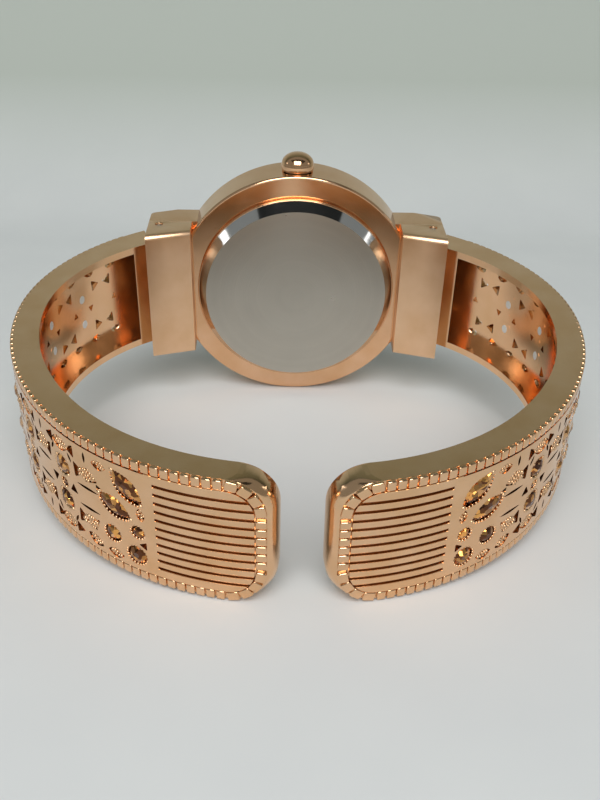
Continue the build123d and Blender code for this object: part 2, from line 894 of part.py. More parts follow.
quartz_place = spot(quartz_distance, quartz_bearing)
with BuildPart() as quartz_crystal:
    with Locations(
        Location((quartz_place[0], board_front_y + quartz_radius, quartz_place[1]), (0, -quartz_bearing, 0))
    ):
        Cylinder(quartz_radius, quartz_length)
quartz_crystal.part.label = "quartz_crystal"
export_step(settle(quartz_crystal.part), "parts/quartz_crystal.step")

# Coil on its core, and the stator plate that carries the core and rings the rotor
with BuildPart() as coil:
    with Locations(coil_axis):
        Cylinder(coil_radius - flange_step, coil_length)
        Box(core_width, core_thickness, core_length)
        for end in (-1, 1):
            with Locations((0, 0, end * (coil_length - flange_thickness) / 2)):
                Cylinder(coil_radius, flange_thickness)
coil.part.label = "coil"
export_step(settle(coil.part), "parts/coil.step")

stator_back_y = coil_core_y + core_thickness / 2
with BuildPart() as stator:
    with BuildSketch(across(stator_back_y + stator_thickness)):
        with Locations(Location((0, 0, 0), (0, 0, coil_bearing))):
            with Locations(((stator_inner + stator_outer) / 2, 0)):
                Rectangle(stator_outer - stator_inner, 2 * stator_half)
            for end in (-1, 1):
                with Locations(
                    ((stator_outer + coil_distance + core_width / 2) / 2, end * (stator_half - stator_lug / 2))
                ):
                    Rectangle(coil_distance + core_width / 2 - stator_outer, stator_lug)
        with Locations(rotor_place):
            Circle(magnet_radius + magnet_gap, mode=Mode.SUBTRACT)
    extrude(amount=stator_thickness)
stator.part.label = "stator"
export_step(settle(stator.part), "parts/stator.step")

# Wheels, each with its leaves and arbor, meshed at rest
fifth_turn = facing_gap(fifth_teeth, fifth_bearing)
fourth_turn = facing_gap(fourth_teeth, fifth_bearing)
third_turn = facing_gap(third_teeth, third_bearing + 180)
centre_turn = facing_gap(centre_teeth, third_bearing)
minute_turn = facing_gap(minute_teeth, minute_bearing + 180)
hour_turn = facing_gap(hour_teeth, minute_bearing)
leaf_length_y = wheel_thickness + 2 * leaf_overlap
arbor_start_y = movement_back_y + push_gap


def arbor(place, y_from, y_to):
    """A plain arbor that ends in pivots in the bridge and the plate."""
    body = disc(bridge_front_y + push_gap, plate_back_y - push_gap, arbor_radius, [place])
    return body + disc(y_from, y_to, pivot_radius, [place])


with BuildPart() as rotor:
    add(toothed(rotor_leaves, rotor_mesh, rotor_place, fifth_wheel_y - leaf_overlap, leaf_length_y, fifth_bearing + 180))
    magnet_y = stator_back_y + (stator_thickness - magnet_height) / 2
    add(disc(magnet_y, magnet_y + magnet_height, magnet_radius, [rotor_place]))
    add(arbor(rotor_place, arbor_start_y, pivot_end_y - push_gap))
rotor.part.label = "rotor"
export_step(settle(rotor.part), "parts/rotor.step")

with BuildPart() as fifth_wheel:
    add(toothed(fifth_teeth, fifth_mesh, fifth_place, fifth_wheel_y, wheel_thickness, fifth_turn))
    add(
        toothed(
            fifth_leaves, fifth_leaf_mesh, fifth_place,
            fourth_wheel_y - leaf_overlap, leaf_length_y, fifth_bearing + 180,
        )
    )
    add(arbor(fifth_place, arbor_start_y, pivot_end_y - push_gap))
fifth_wheel.part.label = "fifth_wheel"
export_step(settle(fifth_wheel.part), "parts/fifth_wheel.step")

with BuildPart() as fourth_wheel:
    add(toothed(fourth_teeth, fourth_mesh, (0, 0), fourth_wheel_y, wheel_thickness, fourth_turn))
    add(
        toothed(
            fourth_leaves, fourth_leaf_mesh, (0, 0),
            third_wheel_y - leaf_overlap, leaf_length_y, third_bearing,
        )
    )
    add(disc(bridge_front_y + push_gap, second_hand_y + hand_thickness, arbor_radius))
    add(disc(arbor_start_y, bridge_front_y + running_gap, pivot_radius))
fourth_wheel.part.label = "fourth_wheel"
export_step(settle(fourth_wheel.part), "parts/fourth_wheel.step")

with BuildPart() as third_wheel:
    add(toothed(third_teeth, third_mesh, third_place, third_wheel_y, wheel_thickness, third_turn))
    add(
        toothed(
            third_leaves, third_leaf_mesh, third_place,
            centre_wheel_y - leaf_overlap, leaf_length_y, third_bearing + 180,
        )
    )
    add(arbor(third_place, arbor_start_y, pivot_end_y - push_gap))
third_wheel.part.label = "third_wheel"
export_step(settle(third_wheel.part), "parts/third_wheel.step")

with BuildPart() as centre_wheel:
    add(toothed(centre_teeth, centre_mesh, (0, 0), centre_wheel_y, wheel_thickness, centre_turn))
    add(disc(centre_wheel_y, centre_pipe_top_y, centre_pipe_radius))
    add(disc(centre_wheel_y - overrun, centre_pipe_top_y + overrun, centre_bore_radius), mode=Mode.SUBTRACT)
centre_wheel.part.label = "centre_wheel"
export_step(settle(centre_wheel.part), "parts/centre_wheel.step")

with BuildPart() as cannon_pinion:
    add(toothed(cannon_leaves, cannon_mesh, (0, 0), minute_wheel_y, wheel_thickness, minute_bearing))
    add(disc(minute_wheel_y - leaf_overlap, minute_hand_y + hand_thickness, cannon_pipe_radius))
    add(
        disc(minute_wheel_y - overrun, minute_hand_y + overrun, centre_pipe_radius + push_gap),
        mode=Mode.SUBTRACT,
    )
cannon_pinion.part.label = "cannon_pinion"
export_step(settle(cannon_pinion.part), "parts/cannon_pinion.step")

with BuildPart() as minute_wheel:
    add(toothed(minute_teeth, minute_mesh, minute_place, minute_wheel_y, wheel_thickness, minute_turn))
    add(
        toothed(
            minute_leaves, minute_leaf_mesh, minute_place,
            minute_wheel_y + wheel_thickness, hour_wheel_y + wheel_thickness - minute_wheel_y - wheel_thickness,
            minute_bearing + 180,
        )
    )
    add(
        disc(minute_wheel_y - overrun, hour_wheel_y + overrun, minute_post_radius + running_gap, [minute_place]),
        mode=Mode.SUBTRACT,
    )
minute_wheel.part.label = "minute_wheel"
export_step(settle(minute_wheel.part), "parts/minute_wheel.step")

with BuildPart() as hour_wheel:
    add(toothed(hour_teeth, hour_mesh, (0, 0), hour_wheel_y, wheel_thickness, hour_turn))
    add(disc(hour_wheel_y, hour_hand_y + hand_thickness, hour_pipe_radius))
    add(
        disc(hour_wheel_y - overrun, hour_hand_y + overrun, cannon_pipe_radius + running_gap),
        mode=Mode.SUBTRACT,
    )
hour_wheel.part.label = "hour_wheel"
export_step(settle(hour_wheel.part), "parts/hour_wheel.step")

# Plastic ring that holds the movement in the case
with BuildPart() as movement_holder:
    add(disc(lid_skirt_depth, dial_seat_depth, chamber_radius - holder_gap))
    add(
        disc(lid_skirt_depth - overrun, dial_seat_depth + overrun, movement_radius + push_gap),
        mode=Mode.SUBTRACT,
    )
    with Locations((0, stem_y, movement_radius - overrun)):
        Cylinder(
            tube_outer_radius + holder_gap,
            chamber_radius,
            align=(Align.CENTER, Align.CENTER, Align.MIN),
            mode=Mode.SUBTRACT,
        )
movement_holder.part.label = "movement_holder"
export_step(settle(movement_holder.part), "parts/movement_holder.step")

# Crown tube pressed into the case, the domed crown over it, its seal and the stem
tube_start_z = case_radius - tube_inset
tube_end_z = case_radius + tube_stand
crown_start_z = case_radius + crown_gap
crown_bore_z = crown_start_z + crown_bore_depth
stem_top_z = crown_bore_z + stem_grip
with BuildPart() as crown_tube:
    with Locations((0, stem_y, tube_start_z)):
        Cylinder(tube_outer_radius, tube_end_z - tube_start_z, align=(Align.CENTER, Align.CENTER, Align.MIN))
        Cylinder(
            tube_inner_radius,
            tube_end_z,
            align=(Align.CENTER, Align.CENTER, Align.MIN),
            mode=Mode.SUBTRACT,
        )
crown_tube.part.label = "crown_tube"
export_step(settle(crown_tube.part), "parts/crown_tube.step")

dome_radius = (crown_radius ** 2 + (crown_height - crown_skirt) ** 2) / (crown_height - crown_skirt) / 2
with BuildPart() as crown:
    with Locations((0, 0, crown_start_z)):
        Cylinder(crown_radius, crown_height, align=(Align.CENTER, Align.CENTER, Align.MIN))
    with Locations((0, 0, crown_start_z + crown_height - dome_radius)):
        Sphere(dome_radius, mode=Mode.INTERSECT)
    with Locations((0, 0, crown_start_z - overrun)):
        Cylinder(
            crown_bore_radius,
            crown_bore_depth + overrun,
            align=(Align.CENTER, Align.CENTER, Align.MIN),
            mode=Mode.SUBTRACT,
        )
        Cylinder(
            stem_radius + push_gap,
            crown_bore_depth + stem_grip + push_gap + overrun,
            align=(Align.CENTER, Align.CENTER, Align.MIN),
            mode=Mode.SUBTRACT,
        )
crown.part = crown.part.moved(Location((0, stem_y, 0)))
crown.part.label = "crown"
export_step(settle(crown.part), "parts/crown.step")

seal_start_z = crown_start_z + crown_gap
with BuildPart() as crown_gasket:
    with Locations((0, stem_y, seal_start_z)):
        Cylinder(
            crown_bore_radius - push_gap, seal_height, align=(Align.CENTER, Align.CENTER, Align.MIN)
        )
        Cylinder(
            tube_outer_radius + push_gap,
            seal_height,
            align=(Align.CENTER, Align.CENTER, Align.MIN),
            mode=Mode.SUBTRACT,
        )
crown_gasket.part.label = "crown_gasket"
export_step(settle(crown_gasket.part), "parts/crown_gasket.step")

groove_half = lever_pin_radius + lever_gap
clutch_end_z = clutch_start_z + clutch_length
with BuildPart() as setting_stem:
    with Locations((0, stem_y, stem_end_z)):
        Cylinder(stem_tip_radius, stem_top_z - stem_end_z, align=(Align.CENTER, Align.CENTER, Align.MIN))
    with Locations((0, stem_y, clutch_end_z + pull_travel)):
        Cylinder(
            stem_radius,
            stem_top_z - clutch_end_z - pull_travel,
            align=(Align.CENTER, Align.CENTER, Align.MIN),
        )
    with Locations((0, stem_y, lever_groove_z)):
        Cylinder(stem_radius + overrun, 2 * groove_half, mode=Mode.SUBTRACT)
        Cylinder(lever_groove_radius, 2 * groove_half)
setting_stem.part.label = "setting_stem"
export_step(settle(setting_stem.part), "parts/setting_stem.step")

# Sliding pinion on the stem, with a waist for the yoke and teeth at its inner end
waist_half = yoke_width / 2 + lever_gap
with BuildPart() as sliding_pinion:
    with Locations((0, stem_y, clutch_start_z)):
        Cylinder(clutch_outer_radius, clutch_length, align=(Align.CENTER, Align.CENTER, Align.MIN))
    with BuildSketch(Plane.XY.offset(clutch_start_z)):
        with Locations((0, stem_y)):
            with PolarLocations(clutch_outer_radius, clutch_teeth):
                Circle(clutch_tooth_depth)
    extrude(amount=clutch_waist_z - waist_half - clutch_tooth_depth, mode=Mode.SUBTRACT)
    with Locations((0, stem_y, clutch_start_z + clutch_waist_z)):
        Cylinder(clutch_outer_radius + overrun, 2 * waist_half, mode=Mode.SUBTRACT)
        Cylinder(clutch_waist_radius, 2 * waist_half)
    with Locations((0, stem_y, clutch_start_z - overrun)):
        Cylinder(
            stem_tip_radius + clutch_bore_gap,
            clutch_length + 2 * overrun,
            align=(Align.CENTER, Align.CENTER, Align.MIN),
            mode=Mode.SUBTRACT,
        )
sliding_pinion.part.label = "sliding_pinion"
export_step(settle(sliding_pinion.part), "parts/sliding_pinion.step")

# Yoke that keeps the pinion's place, sliding on a post of the plate
yoke_front_y = plate_back_y - yoke_stand
yoke_z = clutch_start_z + clutch_waist_z
yoke_tip_x = clutch_waist_radius + running_gap
with BuildPart() as clutch_yoke:
    with BuildSketch(across(yoke_front_y)):
        with Locations(((yoke_tip_x + yoke_reach) / 2, yoke_z)):
            Rectangle(yoke_reach - yoke_tip_x, yoke_width)
        with Locations((yoke_place[0], yoke_z)):
            Rectangle(yoke_body, yoke_body + clutch_travel)
            Circle(yoke_post_radius + running_gap, mode=Mode.SUBTRACT)
            with Locations((0, clutch_travel / 2)):
                Rectangle(2 * (yoke_post_radius + running_gap), clutch_travel, mode=Mode.SUBTRACT)
            with Locations((0, clutch_travel)):
                Circle(yoke_post_radius + running_gap, mode=Mode.SUBTRACT)
    extrude(amount=yoke_thickness)
clutch_yoke.part.label = "clutch_yoke"
export_step(settle(clutch_yoke.part), "parts/clutch_yoke.step")

# Setting lever: a pin on its end rides in the stem's groove
lever_front_y = lever_top_y - lever_gap / 2
with BuildPart() as setting_lever:
    with BuildSketch(across(lever_front_y)):
        with Locations(lever_place, (0, lever_groove_z)):
            Circle(lever_width / 2)
        make_hull()
        with Locations(lever_place):
            Circle(lever_post_radius + running_gap, mode=Mode.SUBTRACT)
    extrude(amount=lever_thickness)
    lever_pin_top_y = stem_y - lever_groove_radius - lever_gap
    add(disc(lever_front_y, lever_pin_top_y, lever_pin_radius, [(0, lever_groove_z)]))
setting_lever.part.label = "setting_lever"
export_step(settle(setting_lever.part), "parts/setting_lever.step")

# Hinge covers, one on each side, over the knuckles, with a slot for the spring's leg
spring_half = spring_turns * spring_pitch / 2
spring_slot = spring_wire_radius + spring_slot_gap
with BuildPart() as hinge_cover_right:
    with BuildSketch(Plane.XY.offset(-lug_half_height)):
        Polygon(
            (lug_inner_x, cover_inner_front_y),
            (lug_outer_x, cover_outer_front_y),
            (lug_outer_x, lug_seam_y),
            (lug_inner_x, lug_seam_y),
            align=None,
        )
    extrude(amount=2 * lug_half_height)
    cover_front = hinge_cover_right.faces().filter_by(Axis.Z, reverse=True).sort_by(Axis.Y)[0]
    fillet(
        cover_front.edges().filter_by(Axis.Z, reverse=True),
        cover_edge_round,
    )
    add(hinge_rooms[0], mode=Mode.SUBTRACT)
    with Locations((pin_x, pin_y, 0)):
        Cylinder(pin_radius + push_gap, 2 * (lug_half_height + overrun), mode=Mode.SUBTRACT)
    with Locations((pin_x - spring_coil_radius, pin_y, spring_half + spring_slot_gap)):
        Box(
            2 * spring_slot,
            spring_case_leg + spring_slot_gap,
            2 * (spring_slot + spring_slot_gap),
            align=(Align.CENTER, Align.MAX, Align.CENTER),
            mode=Mode.SUBTRACT,
        )
hinge_cover_right.part.label = "hinge_cover_right"
export_step(settle(hinge_cover_right.part), "parts/hinge_cover_right.step")

with BuildPart() as hinge_cover_left:
    mirror(hinge_cover_right.part, about=Plane.YZ)
hinge_cover_left.part.label = "hinge_cover_left"
export_step(settle(hinge_cover_left.part), "parts/hinge_cover_left.step")

with BuildPart() as hinge_pin_right:
    with Locations((pin_x, pin_y, 0)):
        Cylinder(pin_radius, 2 * (lug_half_height - pin_recess))
    chamfer(hinge_pin_right.edges().filter_by(GeomType.CIRCLE), pin_recess)
hinge_pin_right.part.label = "hinge_pin_right"
export_step(settle(hinge_pin_right.part), "parts/hinge_pin_right.step")

with BuildPart() as hinge_pin_left:
    mirror(hinge_pin_right.part, about=Plane.YZ)
hinge_pin_left.part.label = "hinge_pin_left"
export_step(settle(hinge_pin_left.part), "parts/hinge_pin_left.step")

# Torsion springs round the pins, with one leg in the cover and one in the cuff's end wall
with BuildPart() as hinge_spring_right:
    with BuildLine():
        winding = Helix(spring_pitch, 2 * spring_half, spring_coil_radius)
        cuff_leg_end = winding @ 0 - (winding % 0) * spring_cuff_leg
        Line(cuff_leg_end, winding @ 0)
        Line(winding @ 1, winding @ 1 + (winding % 1) * spring_case_leg)
    with BuildSketch(Plane(origin=cuff_leg_end, z_dir=winding % 0)):
        Circle(spring_wire_radius)
    sweep()
spring_place = Location((pin_x, pin_y, -spring_half), (0, 0, 90))
hinge_spring_right.part = hinge_spring_right.part.moved(spring_place)
hinge_spring_right.part.label = "hinge_spring_right"
export_step(settle(hinge_spring_right.part), "parts/hinge_spring_right.step")

with BuildPart() as hinge_spring_left:
    mirror(hinge_spring_right.part, about=Plane.YZ)
hinge_spring_left.part.label = "hinge_spring_left"
export_step(settle(hinge_spring_left.part), "parts/hinge_spring_left.step")

# Plan of the right cuff: outer arcs, inner arcs that thicken towards the hinge, and the cut end
tip_x = tip_gap / 2
corner_x = tip_x + tip_corner_radius
end_x = lug_outer_x + stop_gap
web_depth = relief_depth + face_wall
inner_x = side_x - cuff_thickness
inner_upper_radius = ((inner_x - inner_end_x) ** 2 + (inner_end_y - side_y) ** 2) / (inner_x - inner_end_x) / 2
inner_upper_centre = (inner_x - inner_upper_radius, side_y)
inner_tip_turn = math.degrees(math.acos((tip_x - front_centre[0]) / (front_radius - cuff_thickness)))
inner_arcs = (
    (front_centre, front_radius - cuff_thickness, -inner_tip_turn, inner_tip_turn - lower_turn),
    (lower_centre, lower_radius - cuff_thickness, -lower_turn, lower_turn),
    (inner_upper_centre, inner_upper_radius, 0, upper_turn),
)
open_cos = math.cos(math.radians(opening_angle))
open_sin = math.sin(math.radians(opening_angle))
swing_reach = lug_outer_x + hinge_gap - pin_x
swing_line = pin_x * open_cos - pin_y * open_sin + swing_reach
corner_y = pin_y + ((end_x - pin_x) * open_cos - swing_reach) / open_sin
end_lean = swing_line - upper_centre[0] * open_cos + upper_centre[1] * open_sin
end_turn = math.degrees(math.acos(end_lean / upper_radius)) - opening_angle
cuff_end = math.radians(
    front_radius * (tip_turn - lower_turn) + lower_radius * lower_turn + upper_radius * end_turn
)
relief_start = plate_length + plate_rim
relief_end = cuff_end - end_wall - hinge_rim
plate_end_x = on_cuff(plate_length, 0).origin.X


def arc_point(arc, share):
    """A point on a plan arc, given as a share of its sweep."""
    centre, radius, start, sweep = arc
    angle = math.radians(start + share * sweep)
    return (centre[0] + radius * math.cos(angle), centre[1] + radius * math.sin(angle))


def slanted_x(y):
    """Where the dial side of the cuff's cut end lies at a height, so that it can swing clear."""
    return (swing_line + y * open_sin) / open_cos


def tip_corners(radius):
    """What lies outside the round corners of the tip plate, as a prism through the front of the cuff."""
    with BuildPart() as corners:
        with BuildSketch(Plane.XZ.offset(tip_reach + overrun)):
            for side in (-1, 1):
                with Locations((corner_x, side * (tip_flat_half + cuff_half_width) / 2)):
                    Rectangle(
                        corner_x, cuff_half_width - tip_flat_half, align=(Align.MAX, Align.CENTER)
                    )
                with Locations((corner_x, side * tip_flat_half)):
                    Circle(radius, mode=Mode.SUBTRACT)
        extrude(amount=-tip_reach)
    return corners.part


def border_lines(inset):
    """The edge of the tip plate, drawn in by an inset: rims, corner arcs and straight end."""
    radius = tip_corner_radius - inset
    rise = cuff_half_width - inset - tip_flat_half
    turn = math.degrees(math.asin(rise / radius))
    meet_x = corner_x - math.sqrt(radius ** 2 - rise ** 2)
    for side in (-1, 1):
        Line((plate_end_x, side * (tip_flat_half + rise)), (meet_x, side * (tip_flat_half + rise)))
        CenterArc((corner_x, side * tip_flat_half), radius, 180 - side * turn, side * turn)
    Line((corner_x - radius, -tip_flat_half), (corner_x - radius, tip_flat_half))


# Where the stones sit: round ones in collars, small ones between them, and long ones by the tip
column_starts = [lattice_start + lattice_pitch * column for column in range(lattice_count)]
row_sides = (-1, 1)
round_places = [(u + lattice_pitch / 2, side * stone_row) for u in column_starts for side in row_sides]
small_places = [(u + lattice_pitch / 2, 0) for u in column_starts] + [small_stone_place]
drop_places = [
    (u + end * drop_spread, side * drop_row, 90 - end * 90)
    for u in column_starts
    for side in row_sides
    for end in row_sides
]
round_shares = [spot(1, side * 360 / stone_sides) for side in range(stone_sides)]
stone_kinds = (
    (round_places, stone_radius),
    (small_places, bead_stone_radius),
    (collar_stone_places, collar_stone_radius),
)
web_middle = relief_depth + face_wall / 2


def outline(shares, length, width, grow=0):
    """An outline from its shares of half a length and half a width, grown by an even amount."""
    return [(x * (length / 2 + grow), y * (width / 2 + grow)) for x, y in shares]


def girdle_depth(half_width, sink):
    """How deep a stone's girdle lies when its pavilion rests on the ledge of its seat."""
    return stone_seat_depth - push_gap - seat_ledge / half_width * sink / (1 - culet_share)


with BuildPart() as plate_shell:
    add(cuff_strip(0, relief_start, -overrun, rib_groove_depth))
    extrude(amount=cuff_half_width + overrun, both=True)
cuff_shell = plate_shell.part

with BuildPart() as cuff_right:
    with BuildSketch(Plane.XY.offset(-cuff_half_width)):
        with BuildLine():
            for centre, radius, start, sweep in cuff_arcs + inner_arcs:
                CenterArc(centre, radius, start, sweep)
            Line(arc_point(cuff_arcs[0], 0), arc_point(inner_arcs[0], 0))
            Line(arc_point(cuff_arcs[-1], 1), arc_point(inner_arcs[-1], 1))
        make_face()
        Polygon(
            (0, side_y / 2),
            (end_x, side_y / 2),
            (end_x, corner_y),
            (slanted_x(-side_y), -side_y),
            (0, -side_y),
            align=None,
            mode=Mode.SUBTRACT,
        )
    extrude(amount=2 * cuff_half_width)
    add(tip_corners(tip_corner_radius), mode=Mode.SUBTRACT)
    tip_edges = (
        cuff_right.edges()
        .filter_by_position(Axis.X, 0, corner_x, inclusive=(True, True))
        .filter_by_position(Axis.Z, -cuff_half_width, cuff_half_width, inclusive=(False, False))
        .filter_by_position(Axis.Y, -tip_reach - overrun, cuff_thickness / 2 - tip_reach)
    )
    chamfer(tip_edges, tip_edge_bevel)

    # Channel behind the face, and the sunk field for the open-work
    with BuildPart(mode=Mode.PRIVATE) as channel:
        add(cuff_strip(tip_wall, cuff_end, web_depth, hinge_thickness + overrun))
        extrude(amount=cuff_half_width - flange_wall, both=True)
        add(tip_corners(tip_corner_radius - flange_wall), mode=Mode.SUBTRACT)
        with Locations((end_x + end_wall, 0, 0)):
            Box(
                side_x,
                tip_reach,
                2 * cuff_half_width,
                align=(Align.MAX, Align.CENTER, Align.CENTER),
                mode=Mode.SUBTRACT,
            )
    add(channel.part, mode=Mode.SUBTRACT)
    with BuildPart(mode=Mode.PRIVATE) as sunk_field:
        add(cuff_strip(relief_start, relief_end, -overrun, relief_depth))
        extrude(amount=face_half_width, both=True)
    add(sunk_field.part, mode=Mode.SUBTRACT)
    with BuildPart(mode=Mode.PRIVATE) as bead_steps:
        add(cuff_strip(relief_start, cuff_end, -overrun, bead_step_depth))
        extrude(amount=cuff_half_width + overrun, both=True)
        with Locations((0, -tip_reach, 0)):
            Box(
                4 * side_x,
                4 * tip_reach,
                2 * (cuff_half_width - bead_line_width),
                mode=Mode.SUBTRACT,
            )
    add(bead_steps.part, mode=Mode.SUBTRACT)

    # Ribs, and a border cut into blocks round the end of the tip plate
    with BuildPart(mode=Mode.PRIVATE) as rib_cuts:
        with BuildSketch(Plane.XZ.offset(tip_reach + overrun)):
            for rib in range(rib_count):
                z = rib_span * ((rib + 0.5) / rib_count * 2 - 1)
                inside = max(abs(z) - tip_flat_half, 0)
                start_x = corner_x - math.sqrt((tip_corner_radius - end_border_width) ** 2 - inside ** 2)
                with Locations(((start_x + plate_end_x) / 2, z)):
                    Rectangle(plate_end_x - start_x, rib_groove)
            edge_blocks = round((plate_end_x - corner_x) / border_block)
            for side in row_sides:
                for block in range(edge_blocks + 1):
                    with Locations(
                        (corner_x + block * border_block, side * (cuff_half_width - border_width / 2))
                    ):
                        Rectangle(border_groove, border_width)
                for step in range(corner_blocks):
                    bearing = 180 - side * 90 * (step + 0.5) / corner_blocks
                    reach = tip_corner_radius - border_width / 2
                    with Locations(
                        Location(
                            (
                                corner_x + reach * math.cos(math.radians(bearing)),
                                side * tip_flat_half + reach * math.sin(math.radians(bearing)),
                                0,
                            ),
                            (0, 0, bearing),
                        )
                    ):
                        Rectangle(border_width, border_groove)
            for block in range(end_blocks + 1):
                with Locations(
                    (tip_x + border_width / 2, tip_flat_half * (2 * block / end_blocks - 1))
                ):
                    Rectangle(border_width, border_groove)
            with BuildLine():
                border_lines(border_width)
            trace(line_width=border_line)
        extrude(amount=-tip_reach)
        add(cuff_shell, mode=Mode.INTERSECT)
    add(rib_cuts.part, mode=Mode.SUBTRACT)

    # Leaves and collars that stand up in the open-work, then their seats and the pierced drops
    with BuildSketch(*[on_cuff(u, 0, web_middle) for u in column_starts]):
        Polygon(*outline(leaf_shares, leaf_length, leaf_width), align=None)
    extrude(amount=web_middle + leaf_rise)
    with BuildSketch(*[on_cuff(u, side * edge_leaf_row, web_middle) for u in column_starts for side in row_sides]):
        Polygon(*outline(leaf_shares, edge_leaf_length, edge_leaf_width), align=None)
    extrude(amount=web_middle)
    for places, radius in stone_kinds:
        with BuildSketch(*[on_cuff(u, z, web_middle) for u, z in places]):
            Circle(radius + collar_width)
        extrude(amount=web_middle)
    for u, z, turn in marquise_places:
        with BuildSketch(on_cuff(u, z, web_middle, turn)):
            Polygon(*outline(marquise_shares, marquise_length, marquise_width, collar_width), align=None)
        extrude(amount=web_middle)
    for places, radius in stone_kinds:
        with BuildSketch(*[on_cuff(u, z, stone_seat_depth) for u, z in places]):
            Circle(radius + push_gap)
        extrude(amount=stone_seat_depth + stone_rise, mode=Mode.SUBTRACT)
        with BuildSketch(*[on_cuff(u, z, web_depth + overrun) for u, z in places]):
            Circle(radius - seat_ledge)
        extrude(amount=web_depth + overrun, mode=Mode.SUBTRACT)
    for u, z, turn in marquise_places:
        with BuildSketch(on_cuff(u, z, stone_seat_depth, turn)):
            Polygon(*outline(marquise_shares, marquise_length, marquise_width, push_gap), align=None)
        extrude(amount=stone_seat_depth + stone_rise, mode=Mode.SUBTRACT)
        with BuildSketch(on_cuff(u, z, web_depth + overrun, turn)):
            Polygon(*outline(marquise_shares, marquise_length, marquise_width, -seat_ledge), align=None)
        extrude(amount=web_depth + overrun, mode=Mode.SUBTRACT)
    with BuildSketch(*[on_cuff(u, z, web_depth + overrun, turn) for u, z, turn in drop_places]):
        Polygon(*outline(drop_shares, drop_length, drop_width), align=None)
    extrude(amount=web_depth + 2 * overrun, mode=Mode.SUBTRACT)

    # Knuckles on the end wall, bored for the pin, and a slot for the spring's leg
    knuckle_length = cuff_half_width - knuckle_inner_z
    for side in row_sides:
        with Locations((pin_x, pin_y, side * (knuckle_inner_z + knuckle_length / 2))):
            Cylinder(barrel_radius, knuckle_length)
            Box(
                end_x + end_wall / 2 - pin_x,
                2 * neck_half,
                knuckle_length,
                align=(Align.MIN, Align.CENTER, Align.CENTER),
            )
    with Locations((pin_x, pin_y, 0)):
        Cylinder(pin_radius + running_gap, 2 * (cuff_half_width + overrun), mode=Mode.SUBTRACT)
    with Locations((pin_x, pin_y + spring_coil_radius, -spring_half - spring_slot_gap)):
        Box(
            spring_cuff_leg + spring_slot_gap,
            2 * spring_slot,
            2 * (spring_slot + spring_slot_gap),
            align=(Align.MIN, Align.CENTER, Align.CENTER),
            mode=Mode.SUBTRACT,
        )
cuff_right.part.label = "cuff_right"
export_step(settle(cuff_right.part), "parts/cuff_right.step")

with BuildPart() as cuff_left:
    mirror(cuff_right.part, about=Plane.YZ)
cuff_left.part.label = "cuff_left"
export_step(settle(cuff_left.part), "parts/cuff_left.step")

# Cut stones resting on the ledges of their seats
round_stones = []
for places, radius in stone_kinds:
    sink = stone_pavilion * radius / stone_radius
    stone = faceted(outline(round_shares, 2 * radius, 2 * radius), stone_rise, sink)
    round_stones += [stone.moved(on_cuff(u, z, girdle_depth(radius, sink)).location) for u, z in places]
with BuildPart() as round_stones_right:
    add(round_stones)
round_stones_right.part.label = "round_stones_right"
export_step(settle(round_stones_right.part), "parts/round_stones_right.step")

with BuildPart() as round_stones_left:
    mirror(round_stones_right.part, about=Plane.YZ)
round_stones_left.part.label = "round_stones_left"
export_step(settle(round_stones_left.part), "parts/round_stones_left.step")

with BuildPart() as marquise_stones_right:
    long_outline = outline(marquise_shares, marquise_length, marquise_width)
    long_stone = faceted(long_outline, stone_rise, marquise_depth)
    for u, z, turn in marquise_places:
        seat = on_cuff(u, z, girdle_depth(marquise_width / 2, marquise_depth), turn)
        add(long_stone.moved(seat.location))
marquise_stones_right.part.label = "marquise_stones_right"
export_step(settle(marquise_stones_right.part), "parts/marquise_stones_right.step")

with BuildPart() as marquise_stones_left:
    mirror(marquise_stones_right.part, about=Plane.YZ)
marquise_stones_left.part.label = "marquise_stones_left"
export_step(settle(marquise_stones_left.part), "parts/marquise_stones_left.step")
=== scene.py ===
# %% [markdown]
# A bangle watch, seen from the wrist side
#
# The watch is a round case with a steel back, between two open-work cuffs hung on sprung hinges.
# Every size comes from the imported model, so the first step loads it as a fixed frame.
# The watch leans on the foot of its case and on both cuff tips. New pieces are drawn upright, in
# millimetres and in the watch's own axes, and one matrix leans them into that attitude.

import json
import math
import random
from contextlib import contextmanager

import bpy
from mathutils import Matrix, Vector

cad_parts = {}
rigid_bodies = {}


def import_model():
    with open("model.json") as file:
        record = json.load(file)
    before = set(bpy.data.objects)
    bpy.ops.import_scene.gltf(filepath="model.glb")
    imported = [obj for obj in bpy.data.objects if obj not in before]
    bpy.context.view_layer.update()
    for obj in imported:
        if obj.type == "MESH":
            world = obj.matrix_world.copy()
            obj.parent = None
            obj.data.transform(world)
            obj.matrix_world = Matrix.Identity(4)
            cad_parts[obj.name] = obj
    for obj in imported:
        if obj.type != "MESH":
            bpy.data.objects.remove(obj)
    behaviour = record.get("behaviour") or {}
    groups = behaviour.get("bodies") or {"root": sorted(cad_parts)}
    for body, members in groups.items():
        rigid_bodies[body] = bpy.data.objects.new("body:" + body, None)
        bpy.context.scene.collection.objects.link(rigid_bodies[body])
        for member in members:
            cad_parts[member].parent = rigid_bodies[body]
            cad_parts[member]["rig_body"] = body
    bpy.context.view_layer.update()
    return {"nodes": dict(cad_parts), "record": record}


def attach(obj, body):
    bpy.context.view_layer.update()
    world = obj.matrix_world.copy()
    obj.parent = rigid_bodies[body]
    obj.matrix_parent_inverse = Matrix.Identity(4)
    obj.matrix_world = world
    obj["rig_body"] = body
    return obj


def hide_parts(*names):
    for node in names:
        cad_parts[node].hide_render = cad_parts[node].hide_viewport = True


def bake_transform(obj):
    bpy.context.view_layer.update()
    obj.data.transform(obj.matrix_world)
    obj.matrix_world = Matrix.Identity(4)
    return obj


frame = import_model()

